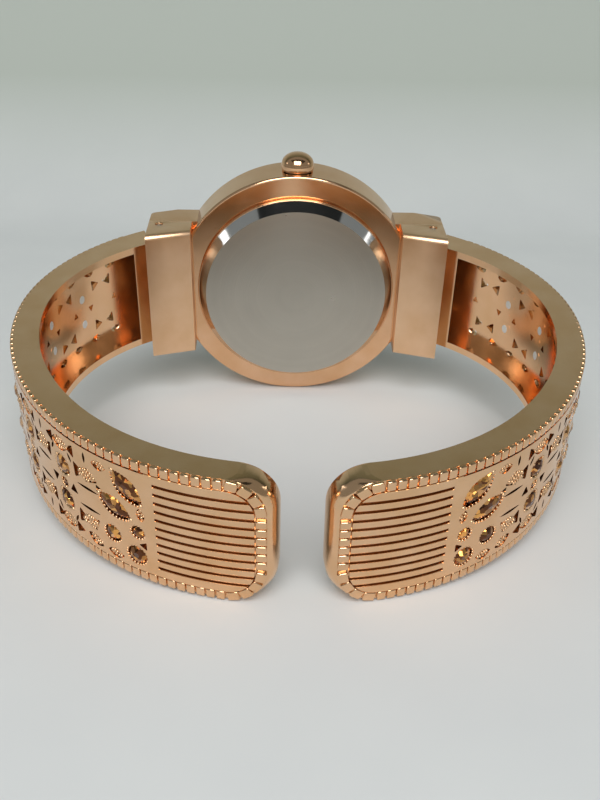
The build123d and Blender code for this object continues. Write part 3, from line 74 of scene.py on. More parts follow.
# %% From the watch's upright axes to its resting attitude
MM = 0.001
LEAN = math.radians(9.664393)
LEAN_ONLY = Matrix.Rotation(LEAN, 3, "X")
CENTRE = Vector((0, 20.882608, 15.674347)) * MM
REST = Matrix.Translation(CENTRE) @ Matrix.Rotation(LEAN, 4, "X") @ Matrix.Scale(MM, 4)
TO_WATCH = REST.inverted()
print("the middle of the case rests at", CENTRE)

# %% [markdown]
# The camera
#
# It looks down at the watch from the wrist side. Its place was found by fitting the case, the hinges
# and the cuff tips to the picture. It is given in the watch's upright axes too.

# %% Camera
YAW, DIP, ROLL = math.radians(1.833), math.radians(33.794), math.radians(1.517)
FRAME_PIXELS, FOCAL_PIXELS, SENSOR = 800, 930.62, 36
forward = Vector((math.sin(YAW) * math.cos(DIP), math.cos(YAW) * math.cos(DIP), -math.sin(DIP)))
level = Vector((math.cos(YAW), -math.sin(YAW), 0))
upward = level.cross(forward)
sideways = math.cos(ROLL) * level + math.sin(ROLL) * upward
overhead = -math.sin(ROLL) * level + math.cos(ROLL) * upward
lens = bpy.data.cameras.new("camera")
lens.sensor_fit = "VERTICAL"
lens.sensor_height = SENSOR
lens.lens = FOCAL_PIXELS / FRAME_PIXELS * SENSOR
lens.clip_start = 0.005
camera = bpy.data.objects.new("camera", lens)
bpy.context.scene.collection.objects.link(camera)
aim = Matrix((sideways, overhead, -forward)).transposed().to_4x4()
stand = REST @ Vector((-2.62, -113.55, 57.95))
camera.matrix_world = Matrix.Translation(stand) @ Matrix.Rotation(LEAN, 4, "X") @ aim
bpy.context.scene.camera = camera
print("camera at", stand)

# %% [markdown]
# Picking and joining
#
# An operator works on all that is selected, so each piece is picked alone first, and in edit mode only
# the faces, edges or points that pass a test. Pieces that share a finish are joined into one object, and
# their place is applied to the mesh, which leaves the object at the origin as the frame expects.

# %% Helpers for picking, joining and smoothing


def pick(*pieces):
    """Select only these pieces, with the first one active."""
    for other in bpy.context.view_layer.objects:
        other.select_set(False)
    for piece in pieces:
        piece.select_set(True)
    bpy.context.view_layer.objects.active = pieces[0]


@contextmanager
def edited(piece, faces=None, edges=None, points=None):
    """Edit mode with only those faces, edges or points picked that pass a test, or else with all."""
    pick(piece)
    mesh = piece.data
    bpy.ops.object.mode_set(mode="EDIT")
    bpy.ops.mesh.select_mode(type="FACE" if faces else "EDGE" if edges else "VERT")
    bpy.ops.mesh.select_all(action="DESELECT" if faces or edges or points else "SELECT")
    bpy.ops.object.mode_set(mode="OBJECT")
    if faces:
        for face in mesh.polygons:
            face.select = faces(face.center, face.normal)
    if edges:
        for edge in mesh.edges:
            edge.select = edges(*(mesh.vertices[i].co for i in edge.vertices))
    if points:
        for vertex in mesh.vertices:
            vertex.select = points(vertex.co)
    bpy.ops.object.mode_set(mode="EDIT")
    yield
    bpy.ops.object.mode_set(mode="OBJECT")


def copy_at(master, place):
    """A copy with its own mesh, moved by a matrix."""
    copy = master.copy()
    copy.data = master.data.copy()
    bpy.context.scene.collection.objects.link(copy)
    copy.matrix_world = place @ master.matrix_world
    return copy


def joined(pieces, name):
    """One object from several, with its place applied to the mesh."""
    pick(*pieces)
    if len(pieces) > 1:
        bpy.ops.object.join()
    bpy.ops.object.transform_apply()
    whole = bpy.context.active_object
    whole.name = name
    whole.data.name = name
    return whole


def smooth(piece, degrees):
    pick(piece)
    bpy.ops.object.shade_smooth_by_angle(angle=math.radians(degrees))


def discard(*pieces):
    for piece in pieces:
        bpy.data.objects.remove(piece)


def cylinder(sides, radius=1.0, depth=1.0, place=(0, 0, 0)):
    bpy.ops.mesh.primitive_cylinder_add(vertices=sides, radius=radius, depth=depth, location=place)
    return bpy.context.active_object


def extrude(rise):
    bpy.ops.mesh.extrude_region_move(TRANSFORM_OT_translate={"value": (0, 0, rise)})


def drawn_in(piece, way, radius, steps, centre=(0, 0, 0), turn=0.0):
    """Extrude the top (way 1) or the bottom (way -1) of a cylinder, by steps of a rise and a radius.
    Each new ring may be turned a little too."""
    with edited(piece, faces=lambda middle, normal: normal.z * way > 0.9):
        for rise, wanted in steps:
            scale = wanted / radius
            extrude(rise)
            bpy.ops.transform.resize(value=(scale, scale, 1), center_override=centre)
            if turn:
                bpy.ops.transform.rotate(value=turn, orient_axis="Z", center_override=centre)
            radius = wanted


# %% [markdown]
# Finishes
#
# A plated watch is never perfectly even. The polish is a little cloudy, the cloth leaves hairlines and
# the casting leaves pinholes. Each finish is a node group with the same sockets, so one function can
# put any of them into a material: it takes a place and a colour, and gives back a varied colour, a
# roughness and a height for the bump.

# %% Helpers for nodes


def wire(tree, kind, inputs=None, **settings):
    """A new node whose inputs are numbers, colours or the outputs of other nodes."""
    node = tree.nodes.new("ShaderNode" + kind)
    for key, value in settings.items():
        setattr(node, key, value)
    for key, value in (inputs or {}).items():
        if isinstance(value, bpy.types.NodeSocket):
            tree.links.new(value, node.inputs[key])
        else:
            node.inputs[key].default_value = value
    return node


def sums(tree, operation, first, second):
    return wire(tree, "Math", {0: first, 1: second}, operation=operation).outputs[0]


def mixed(tree, factor, first, second):
    """A colour between two others."""
    return wire(tree, "Mix", {0: factor, 6: first, 7: second}, data_type="RGBA").outputs[2]


def noise(tree, place, scale, detail):
    return wire(tree, "TexNoise", {"Vector": place, "Scale": scale, "Detail": detail}).outputs[0]


def stretched(tree, place, scales):
    return wire(tree, "Mapping", {"Vector": place, "Scale": scales}).outputs[0]


def ranged(tree, value, given=(0, 1), wanted=(0, 1)):
    """A value brought from one range to another."""
    ends = {"From Min": given[0], "From Max": given[1], "To Min": wanted[0], "To Max": wanted[1]}
    return wire(tree, "MapRange", {"Value": value, **ends}).outputs[0]


def dimmed(tree, colour, value, saturation=1.0):
    inputs = {"Color": colour, "Value": value, "Saturation": saturation}
    return wire(tree, "HueSaturation", inputs).outputs[0]


def node_group(name, takes, gives):
    """A node group with sockets given as their names and kinds, and its two ends."""
    tree = bpy.data.node_groups.new(name, "ShaderNodeTree")
    for way, sockets in (("INPUT", takes), ("OUTPUT", gives)):
        for label, kind in sockets.items():
            tree.interface.new_socket(name=label, in_out=way, socket_type="NodeSocket" + kind)
    return tree, tree.nodes.new("NodeGroupInput").outputs, tree.nodes.new("NodeGroupOutput").inputs


def finish(name):
    """The node group of a finish, with its place and its plain colour, and all its sockets."""
    takes = {"Vector": "Vector", "Colour": "Color", "Roughness": "Float"}
    gives = {"Colour": "Color", "Roughness": "Float", "Height": "Float"}
    tree, start, ends = node_group(name, takes, gives)
    return tree, start["Vector"], start["Colour"], (start, ends)


def close(tree, sockets, colour, spread, height):
    """Wire the results of a finish to its end. The spread is added to the plain roughness."""
    start, ends = sockets
    roughness = sums(tree, "ADD", start["Roughness"], spread)
    for key, value in (("Colour", colour), ("Roughness", roughness), ("Height", height)):
        tree.links.new(value, ends[key])
    print(tree.name, "has", len(tree.nodes), "nodes")
    return tree


def blank(name, **numbers):
    """A new material, with its node tree and its shader, which gets some plain numbers."""
    made = bpy.data.materials.new(name)
    made.use_nodes = True
    shader = made.node_tree.nodes["Principled BSDF"]
    for key, value in numbers.items():
        shader.inputs[key.replace("_", " ")].default_value = value
    return made, made.node_tree, shader


def material(name, group_tree, colour, roughness, depth, metallic=0.0, **numbers):
    """A material from a finish. depth is the bump's depth in millimetres."""
    made, tree, shader = blank(name, Metallic=metallic, **numbers)
    place = wire(tree, "TexCoord").outputs["Object"]
    inputs = {"Vector": place, "Colour": (*colour, 1), "Roughness": roughness}
    group = wire(tree, "Group", inputs, node_tree=group_tree)
    bump = wire(tree, "Bump", {"Height": group.outputs["Height"], "Distance": depth * MM, "Strength": 1})
    tree.links.new(group.outputs["Colour"], shader.inputs["Base Color"])
    tree.links.new(group.outputs["Roughness"], shader.inputs["Roughness"])
    tree.links.new(bump.outputs[0], shader.inputs["Normal"])
    made.diffuse_color = (*colour, 1)
    return made


# %% [markdown]
# Polished plating
#
# Rose-gold plating is bright, but it carries clouds a few millimetres wide, hairlines from wiping and
# a few pinholes. The clouds change the roughness, the hairlines are a noise stretched along one way,
# and the pinholes are the middles of scattered cells.

# %% The finish of polished plating
tree, place, plain, sockets = finish("polished plating")
clouds = noise(tree, place, 260, 3)
hairs = noise(tree, stretched(tree, place, (900, 900, 9000)), 1, 2)
cells = wire(tree, "TexVoronoi", {"Vector": place, "Scale": 620}).outputs["Distance"]
holes = ranged(tree, cells, (0.03, 0.07))
colour = mixed(tree, ranged(tree, clouds, (0.3, 0.7)), dimmed(tree, plain, 0.9, 1.12), plain)
height = sums(tree, "ADD", sums(tree, "MULTIPLY", hairs, 0.12), holes)
POLISHED = close(tree, sockets, colour, ranged(tree, clouds, wanted=(-0.05, 0.07)), height)

# %% [markdown]
# Turned steel
#
# The back was faced on a lathe, so its satin is thousands of fine rings round the middle. They scatter
# light towards and away from the middle only. A Mapping node brings the place back to the middle of
# the watch, and a noise read along the distance from the axis makes the rings uneven.

# %% The finish of turned steel
tree, place, plain, sockets = finish("turned steel")
attitude = {"Vector": place, "Location": CENTRE, "Rotation": (LEAN, 0, 0)}
middle = wire(tree, "Mapping", attitude, vector_type="TEXTURE").outputs[0]
parts = wire(tree, "SeparateXYZ", {0: middle}).outputs
flat = wire(tree, "CombineXYZ", {0: parts[0], 1: parts[2]}).outputs[0]
away = wire(tree, "VectorMath", {0: flat}, operation="LENGTH").outputs["Value"]
rings, broad = (
    wire(tree, "TexNoise", {"W": away, "Scale": scale, "Detail": detail}, noise_dimensions="1D").outputs[0]
    for scale, detail in ((5200, 3), (700, 2))
)
haze = noise(tree, place, 180, 4)
colour = mixed(tree, sums(tree, "MULTIPLY", broad, haze), plain, dimmed(tree, plain, 0.82))
height = sums(tree, "ADD", rings, sums(tree, "MULTIPLY", broad, 0.15))
TURNED = close(tree, sockets, colour, ranged(tree, haze, wanted=(-0.06, 0.06)), height)

# %% [markdown]
# Plain metal and moulded plastic
#
# The works inside are stamped, turned or moulded, and few of them are polished. One finish is a fine
# brushed grain for the metals. The other is the faint orange peel of a moulded or enamelled surface.

# %% The finishes of brushed metal and of moulded or enamelled pieces
tree, place, plain, sockets = finish("brushed grain")
grain = noise(tree, stretched(tree, place, (600, 9000, 9000)), 1, 3)
colour = mixed(tree, grain, plain, dimmed(tree, plain, 0.8))
BRUSHED = close(tree, sockets, colour, ranged(tree, grain, wanted=(-0.06, 0.08)), grain)

tree, place, plain, sockets = finish("moulded skin")
peel, haze = noise(tree, place, 1500, 2), noise(tree, place, 160, 3)
colour = mixed(tree, haze, plain, dimmed(tree, plain, 0.9))
MOULDED = close(tree, sockets, colour, ranged(tree, haze, wanted=(-0.05, 0.05)), peel)

# %% [markdown]
# One material for each kind of stuff
#
# The record names the material slot of every solid, so the materials are kept under those names. The
# gold has two tones, because the cast cuffs took the plating a little yellower than the case did.

# %% Materials
GOLD = (0.87, 0.55, 0.34)
CAST_GOLD = (0.87, 0.57, 0.35)
ROWS = {
    "plated_case": ("case gold", POLISHED, GOLD, 0.13, 0.006, 1.0),
    "plated_cuff": ("cuff gold", POLISHED, CAST_GOLD, 0.14, 0.006, 1.0),
    "satin_back": ("satin steel", TURNED, (0.53, 0.50, 0.44), 0.30, 0.012, 1.0),
    "steel": ("plain steel", BRUSHED, (0.60, 0.59, 0.57), 0.28, 0.003, 1.0),
    "cell_steel": ("cell steel", BRUSHED, (0.70, 0.70, 0.69), 0.22, 0.003, 1.0),
    "movement_plate": ("movement brass", BRUSHED, (0.72, 0.58, 0.32), 0.32, 0.004, 1.0),
    "wheel_brass": ("wheel brass", BRUSHED, (0.80, 0.62, 0.30), 0.26, 0.002, 1.0),
    "copper_wire": ("copper winding", BRUSHED, (0.72, 0.30, 0.14), 0.34, 0.02, 1.0),
    "dial_gold": ("dial gold", POLISHED, (0.83, 0.55, 0.36), 0.12, 0.002, 1.0),
    "dial_enamel": ("dial enamel", MOULDED, (0.86, 0.83, 0.77), 0.32, 0.002),
    "holder_plastic": ("holder plastic", MOULDED, (0.78, 0.78, 0.74), 0.5, 0.01),
    "black_rubber": ("black rubber", MOULDED, (0.025, 0.025, 0.026), 0.62, 0.01),
    "board_green": ("board green", MOULDED, (0.03, 0.20, 0.09), 0.42, 0.008),
}
STUFF = {slot: material(*row) for slot, row in ROWS.items()}
CLEAR = {"Transmission_Weight": 1.0, "IOR": 1.52}
STUFF["mineral_glass"] = material("mineral glass", MOULDED, (0.97, 0.99, 0.99), 0.05, 0.0, **CLEAR)
POLISHED_STEEL = material("polished steel", POLISHED, (0.72, 0.71, 0.69), 0.08, 0.004, 1.0)
# A paler and rougher copy of the case gold for the hinge covers; its paler colour is painted light.
PAINTED_LIGHT_COVER_PLATING = material("cover plating with painted light", POLISHED, (0.92, 0.62, 0.40), 0.30, 0.006, 1.0)
# Dark plating that paints shade into the bottoms of the grooves and of the windows.
PAINTED_SHADE_PLATING = material("plating with painted shade", POLISHED, (0.17, 0.075, 0.035), 0.40, 0.002, 1.0)
STONE_FOIL = material("stone foil", MOULDED, (0.80, 0.82, 0.79), 0.35, 0.002)
print(len(bpy.data.materials), "materials")

# %% [markdown]
# Champagne stones
#
# A foiled stone shows the facets of its mirrored back through its clear face. So the stone is a tinted
# mirror whose normal jumps from cell to cell, as the hidden facets do, and its clear coat keeps the true
# shape of the cut outside. Some cells are painted dark brown and some bright amber: the amber is partly
# the stone's own tint, and the change from cell to cell is painted reflection of the hidden facets.

# %% The foiled stone's finish
SHADED_FACET_BROWN, LIT_FACET_AMBER = (0.13, 0.04, 0.01, 1), (0.95, 0.46, 0.12, 1)
takes = {"Vector": "Vector", "Normal": "Vector", "Scale": "Float", "Lean": "Float"}
facets, start, ends = node_group("inner facets", takes, {"Colour": "Color", "Normal": "Vector"})
cells = wire(facets, "TexVoronoi", {"Vector": start["Vector"], "Scale": start["Scale"]}).outputs["Color"]


def vector(operation, inputs):
    return wire(facets, "VectorMath", inputs, operation=operation).outputs[0]


centred = vector("SUBTRACT", {0: cells, 1: (0.5, 0.5, 0.5)})
leant = vector("SCALE", {0: centred, "Scale": start["Lean"]})
normal = vector("NORMALIZE", {0: vector("ADD", {0: start["Normal"], 1: leant})})
# Painted reflection: each cell is painted dark brown or bright amber, as a hidden facet that is shaded or
# flashing.
lit_facet_mask = ranged(facets, wire(facets, "SeparateXYZ", {0: cells}).outputs[1], (0.35, 0.75))
facets.links.new(normal, ends["Normal"])
facets.links.new(mixed(facets, lit_facet_mask, SHADED_FACET_BROWN, LIT_FACET_AMBER), ends["Colour"])

numbers = {"Metallic": 1.0, "Roughness": 0.1, "Coat_Weight": 0.4, "Coat_Roughness": 0.02}
STUFF["champagne_stone"], tree, shader = blank("champagne stone", **numbers)
places = {
    "Vector": wire(tree, "TexCoord").outputs["Object"],
    "Normal": wire(tree, "NewGeometry").outputs["Normal"],
    "Scale": 1900,
    "Lean": 0.95,
}
group = wire(tree, "Group", places, node_tree=facets)
tree.links.new(group.outputs["Colour"], shader.inputs["Base Color"])
tree.links.new(group.outputs["Normal"], shader.inputs["Normal"])
print(len(STUFF), "materials for the record's slots")

# %% [markdown]
# Dressing the solids
#
# Most of the works inside stay as the solids that they are, and only their material is swapped for the
# one that belongs to their slot.

# %% Give every solid the material of its slot
SLOTS = {part["node"]: part["material_slot"] for part in frame["record"]["subparts"]}
for node, slot in SLOTS.items():
    solid = frame["nodes"][node]
    solid.data.materials.clear()
    solid.data.materials.append(STUFF[slot])
print(len(SLOTS), "solids have a finish")

# %% [markdown]
# From solids to polished skins
#
# A solid's mesh is loose flat triangles, and on polished metal each of them would show. So the pieces
# that are seen get a skin: a copy of the solid with its doubles merged and its faces smoothed up to a
# corner angle. Long thin triangles still tilt the averaged normals a little, and a mirror finish shows
# that. A turned wall has its true normal pointing straight from its axis, so each corner of a face that
# lies on such a wall gets that normal, and each flat face keeps its own.

# %% Helpers for skins


def skin(node, ease=0.0, rides=True):
    """A smooth copy of a solid that stands for it, with its corners eased by some millimetres."""
    solid = frame["nodes"][node]
    piece = bpy.data.objects.new(node + "_skin", solid.data.copy())
    bpy.context.scene.collection.objects.link(piece)
    with edited(piece):
        bpy.ops.mesh.remove_doubles(threshold=0.5e-6)
    if ease:
        bevel = piece.modifiers.new("eased corners", "BEVEL")
        bevel.width = ease * MM
        bevel.segments = 2
        bevel.limit_method = "ANGLE"
        bevel.angle_limit = math.radians(40)
        bpy.ops.object.modifier_apply(modifier=bevel.name)
    smooth(piece, 30)
    if rides:
        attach(piece, solid["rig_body"])
    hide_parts(node)
    return piece


def true_normals(piece, axis_at, along):
    """Point the normals of turned walls straight from their axis. axis_at gives a point of the axis
    for a place in the watch's upright axes, and along is the axis's direction there."""
    mesh = piece.data
    turn = LEAN_ONLY.inverted()
    points = [TO_WATCH @ vertex.co for vertex in mesh.vertices]
    normals = [corner.vector.copy() for corner in mesh.corner_normals]
    straightened = 0
    for face in mesh.polygons:
        normal = (turn @ face.normal).normalized()
        middle = sum((points[i] for i in face.vertices), Vector()) / len(face.vertices)
        base = axis_at(middle, normal)
        lift = normal.dot(along)
        away = middle - base
        away -= along * away.dot(along)
        away.normalize()
        part = normal.dot(away)
        if abs(part) < 0.05 and abs(lift) > 0.99:
            for loop in face.loop_indices:
                normals[loop] = face.normal
        elif abs(part) > 0.1 and part * part + lift * lift > 0.985:
            straightened += 1
            for loop, i in zip(face.loop_indices, face.vertices):
                out = points[i] - base
                out -= along * out.dot(along)
                exact = out.normalized() * part + along * lift
                normals[loop] = (LEAN_ONLY @ exact).normalized()
    mesh.normals_split_custom_set(normals)
    print(piece.name, "has", len(mesh.polygons), "faces, of which", straightened, "are on turned walls")


# %% Skins of the pieces that are seen
COVER_EASE = 0.12
CASE_NODES = ("case_middle", "bezel", "case_back", "crystal")
SKINS = {node: skin(node) for node in CASE_NODES + ("cuff_left", "cuff_right")}
for node in ("hinge_cover_left", "hinge_cover_right"):
    SKINS[node] = skin(node, COVER_EASE)
    # The covers get the paler gold, painted light that brightens them.
    SKINS[node].data.materials[0] = PAINTED_LIGHT_COVER_PLATING
for node in ("hinge_pin_left", "hinge_pin_right"):
    SKINS[node] = skin(node)
print(len(SKINS), "skins")

# %% [markdown]
# The springs in the hinges
#
# A torsion spring has one leg in the cover and one in the cuff. As the cuff opens, its leg goes along and
# the coil between the legs takes up the turn. The two ends of its coil lie on the hinge's pin. Here each
# spring only gets a smooth skin, fixed where it lies; it rides with no body and does not bend.

# %% Smooth skins of the springs, fixed in place
for side, name in ((1, "right"), (-1, "left")):
    spring = skin(f"hinge_spring_{name}", rides=False)
    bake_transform(spring)

# %% [markdown]
# The turned case
#
# The case, the bezel, the lid and the glass were all turned about one axis, through the middle of the
# watch. So one rule gives the axis for all four.

# %% True normals for the case


def case_axis(place, normal):
    return Vector((0, place.y, 0))


for node in CASE_NODES:
    true_normals(SKINS[node], case_axis, Vector((0, 1, 0)))

# %% [markdown]
# The plan of a cuff
#
# Each cuff follows three arcs that flow into each other, from the tip round to the hinge, and its inner
# wall follows its own arc near the hinge. A place on its face is a length along the arcs and a height
# across them, and all the ornament is placed with these two numbers.

# %% Places along the cuff
FRONT_CENTRE = (1.714748, -21.788243)
LOWER_CENTRE = (-0.8, -19.5)
UPPER_CENTRE = (4.4, -19.5)
INNER_CENTRE = (7.48, -19.5)
FRONT_END = -42.3
CUFF_ARCS = (
    (FRONT_CENTRE, 29.3, -89.44217, 47.14217),
    (LOWER_CENTRE, 32.7, FRONT_END, 42.3),
    (UPPER_CENTRE, 27.5, 0.0, 60.0),
)
HINGE_END = 74.4
ACROSS = Vector((0, 0, 1))


def on_cuff(u, z, depth=0.0):
    """A place on the right cuff's face, some depth under it, in the watch's upright axes."""
    passed = 0.0
    for centre, radius, start, sweep in CUFF_ARCS:
        length = radius * math.radians(sweep)
        if u <= passed + length:
            break
        passed += length
    angle = math.radians(start) + (u - passed) / radius
    reach = radius - depth
    return Vector((centre[0] + reach * math.cos(angle), centre[1] + reach * math.sin(angle), z))


def off_cuff(place):
    """The place on the flat strip that belongs to a place on either cuff."""
    x = abs(place.x)
    passed = 0.0
    for centre, radius, start, sweep in CUFF_ARCS:
        angle = math.degrees(math.atan2(place.y - centre[1], x - centre[0]))
        if angle <= start + sweep or centre == UPPER_CENTRE:
            break
        passed += radius * math.radians(sweep)
    height = math.hypot(place.y - centre[1], x - centre[0]) - radius
    return Vector((passed + radius * math.radians(angle - start), place.z, height))


def cuff_axis(place, normal):
    """A point of the axis of the arc that a place on either cuff belongs to."""
    side = 1 if place.x > 0 else -1
    lean = math.degrees(math.atan2(place.y - LOWER_CENTRE[1], abs(place.x) - LOWER_CENTRE[0]))
    if lean < FRONT_END:
        centre = FRONT_CENTRE
    elif lean < 0:
        centre = LOWER_CENTRE
    else:
        centre = UPPER_CENTRE if normal.x * side > 0 else INNER_CENTRE
    return Vector((centre[0] * side, centre[1], place.z))


print("tip at", on_cuff(0, 0), "hinge end at", on_cuff(HINGE_END, 0))

# %% [markdown]
# The lid's bevel
#
# The satin stops at the edge of the flat. The sloping edge round it was polished, and it mirrors the
# room in black and white. So the faces that don't point straight back get the polished steel.

# %% A polished edge on the lid
BACKWARDS = LEAN_ONLY @ Vector((0, -1, 0))
lid = SKINS["case_back"]
lid.data.materials.append(POLISHED_STEEL)
for face in lid.data.polygons:
    if face.normal.dot(BACKWARDS) < 0.97:
        face.material_index = 1
print("polished faces on the lid:", sum(face.material_index for face in lid.data.polygons))

# %% [markdown]
# The lip round the lid
#
# A thin round lip lies between the lid's slope and the case, and it catches the lamp as one white line.
# Its section is a small oval ring, spun once round the case's axis. The first and the last section are
# merged, which leaves no seam.

# %% A spun lip
LIP_RADIUS, LIP_Y, LIP_THICK, LIP_STEPS = 13.0, -0.52, 0.2, 120
middle = (LIP_RADIUS, LIP_Y, 0)
bpy.ops.object.select_all(action="DESELECT")
bpy.ops.mesh.primitive_circle_add(vertices=12, radius=LIP_THICK, location=middle)
lip = joined([bpy.context.active_object], "lid_lip")
with edited(lip):
    bpy.ops.transform.resize(value=(0.8, 1.4, 1), center_override=middle)
    bpy.ops.mesh.spin(steps=LIP_STEPS, angle=math.tau, center=(0, 0, 0), axis=(0, 1, 0))
    bpy.ops.mesh.select_all(action="SELECT")
    bpy.ops.mesh.remove_doubles(threshold=0.001)
    bpy.ops.mesh.normals_make_consistent(inside=False)
lip.data.transform(REST)
smooth(lip, 60)
lip.data.materials.append(STUFF["plated_case"])
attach(lip, frame["nodes"]["case_back"]["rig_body"])
print("the lip has", len(lip.data.polygons), "faces")

# %% [markdown]
# The crown
#
# The crown is a small turned dome with a plain skirt. It starts as a low cylinder, and its top face is
# extruded and drawn out or in, ring after ring: a small step, the skirt, and a quarter circle for the
# dome. It stands on the stem, so it rides with it. It is a little shorter than its solid, so the stem
# and its tube are drawn back too and end inside the dome.

# %% The crown, drawn in the watch's upright axes
CROWN_RADIUS, CROWN_FOOT, DOME_RADIUS, DOME_HEIGHT, DOME_RINGS = 2.1, 2.04, 2.07, 1.42, 10
CROWN_Y, CROWN_Z, DOME_INSIDE = 2.8, 16.0, 17.3
profile = [(0.06, CROWN_RADIUS), (0.52, CROWN_RADIUS), (0.05, 2.08)]
for step in range(1, DOME_RINGS + 1):
    turn, last = (math.pi / 2 * k / DOME_RINGS for k in (step, step - 1))
    rise = DOME_HEIGHT * (math.sin(turn) - math.sin(last))
    profile.append((rise, max(DOME_RADIUS * math.cos(turn), 0.05)))
crown = cylinder(40, CROWN_FOOT, 0.1, (0, CROWN_Y, CROWN_Z))
drawn_in(crown, 1, CROWN_FOOT, profile, (0, CROWN_Y, 0))
crown = joined([crown], "crown_skin")
crown.data.transform(REST)
smooth(crown, 28)
crown.data.materials.append(STUFF["plated_case"])
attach(crown, "crown_stem")
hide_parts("crown")
for node in ("setting_stem", "crown_tube"):
    for vertex in skin(node).data.vertices:
        place = TO_WATCH @ vertex.co
        if place.z > DOME_INSIDE:
            vertex.co = REST @ Vector((place.x, place.y, DOME_INSIDE))

# %% [markdown]
# Ornament drawn flat
#
# The open-work was carved flat in wax, and the wax was bent before casting. The same order works here:
# every piece is drawn on a flat strip in millimetres, with X along the cuff, Y across it and Z out of
# its face. One function then wraps the strip round the cuff, and mirrors it for the left cuff.

# %% Wrapping, mirroring and placing


def wrapped(pieces, name):
    """Join flat-drawn pieces, wrap them on the right cuff and make their mirror image on the left."""
    right = joined(pieces, name + "_right")
    for vertex in right.data.vertices:
        u, z, height = vertex.co
        vertex.co = REST @ on_cuff(u, z, -height)
    left = copy_at(right, Matrix())
    left.name = name + "_left"
    left.data.transform(Matrix.Scale(-1, 4, (1, 0, 0)))
    left.data.flip_normals()
    return right, left


def on_cuffs(pieces, name, degrees=0, curved=False, stuff="plated_cuff"):
    """Wrap flat-drawn pieces on both cuffs, and give them their finish, their bodies and, when they
    are long and curved, their true normals."""
    right, left = wrapped(pieces, name)
    for piece, body in ((right, "cuff_right_arm"), (left, "cuff_left_arm")):
        piece.data.materials.clear()
        piece.data.materials.append(STUFF[stuff])
        if degrees:
            smooth(piece, degrees)
        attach(piece, body)
        if curved:
            true_normals(piece, cuff_axis, ACROSS)
    print(name, "has", len(right.data.polygons), "faces on each cuff")
    return right, left


def flat_place(u, z, height=0.0, turn=0.0, size=(1, 1, 1)):
    """A matrix for a flat-drawn piece: its place, its turn in degrees and its size."""
    scale = Matrix.Diagonal((*size, 1))
    return Matrix.Translation((u, z, height)) @ Matrix.Rotation(math.radians(turn), 4, "Z") @ scale


def laid(master, *place):
    """A copy of a flat-drawn piece, in a place given as for flat_place."""
    return copy_at(master, flat_place(*place))


def beside(u, z, turn, along, across=0.0):
    """The place that lies so far along and across a direction, in degrees, from another place."""
    turn = math.radians(turn)
    return (
        u + along * math.cos(turn) - across * math.sin(turn),
        z + along * math.sin(turn) + across * math.cos(turn),
    )


def slices(piece, places, direction):
    """Cut a flat-drawn piece across at several places, so that it can be bent there."""
    with edited(piece):
        for place in places:
            bpy.ops.mesh.select_all(action="SELECT")
            bpy.ops.mesh.bisect(plane_co=[place * part for part in direction], plane_no=direction)


def steps(start, step, count):
    return [start + step * k for k in range(count)]


def turns(count):
    """Directions all round, in degrees."""
    return [360 * k / count for k in range(count)]


def box(u, z, height, size):
    """A block from its middle and its three sizes."""
    bpy.ops.mesh.primitive_cube_add(size=1, location=(0, 0, 0))
    made = bpy.context.active_object
    made.data.transform(flat_place(u, z, height, 0, size))
    return made


def rounded_box(start, end, half, bottom, top, corner):
    """A block whose two corners at its start are rounded."""
    made = box((start + end) / 2, 0, (bottom + top) / 2, (end - start, 2 * half, top - bottom))
    with edited(made, edges=lambda a, b: max(a.x, b.x) < start + 0.01 and abs(a.z - b.z) > 0.1):
        bpy.ops.mesh.bevel(offset=corner, segments=12)
    return made


def cut_out(piece, cutter):
    """Take a cutter away from a piece with a boolean, and throw the cutter away."""
    pick(piece)
    cut = piece.modifiers.new("cut", "BOOLEAN")
    cut.object = cutter
    cut.solver = "EXACT"
    bpy.ops.object.modifier_apply(modifier=cut.name)
    discard(cutter)


# %% [markdown]
# Making room for the ornament
#
# The solids carry the ornament as a plain relief. Here the relief is laid flat, down to the floor of its
# recess, and the two edge strips are lowered a little, so that the finer pieces stand exactly where the
# old face was. The plain tips are cut off with a bisect across the cuff, and new ones are made below.

# %% Flatten the skins' relief and cut off the tips
TIP_END, RELIEF_START, RELIEF_END, FLOOR, STRIP, STRIP_EDGE = 12.8, 12.6, 71.3, 0.56, 0.3, 5.97


def flatten(piece):
    """Lay the relief between the edge strips flat, and lower the strips."""
    moved = 0
    for vertex in piece.data.vertices:
        place = TO_WATCH @ vertex.co
        u, z, height = off_cuff(place)
        depth = FLOOR if abs(z) < STRIP_EDGE else STRIP
        if RELIEF_START < u < RELIEF_END and height > 0.01 - depth:
            lowered = on_cuff(u, z, depth)
            lowered.x *= 1 if place.x > 0 else -1
            vertex.co = REST @ lowered
            moved += 1
    return moved


cut_angle = math.radians(CUFF_ARCS[0][2]) + TIP_END / CUFF_ARCS[0][1]
cut_place = on_cuff(TIP_END, 0)
for side, node in ((1, "cuff_right"), (-1, "cuff_left")):
    print("vertices laid flat:", flatten(SKINS[node]))
    spot = REST @ Vector((cut_place.x * side, cut_place.y, 0))
    along = LEAN_ONLY @ Vector((-math.sin(cut_angle) * side, math.cos(cut_angle), 0))
    with edited(SKINS[node]):
        bpy.ops.mesh.bisect(plane_co=spot, plane_no=along, clear_inner=True, threshold=1e-7)

# %% [markdown]
# The ribbed tips
#
# The tip of each cuff is a thick plate with rounded corners, and its end rolls over in a smooth cap. The
# plate is a block with two bevelled edges. It is sliced level by level, and the levels near the face are
# drawn back step by step, which rolls the end over but leaves the long sides straight. The hollow behind
# is an inset face, extruded.

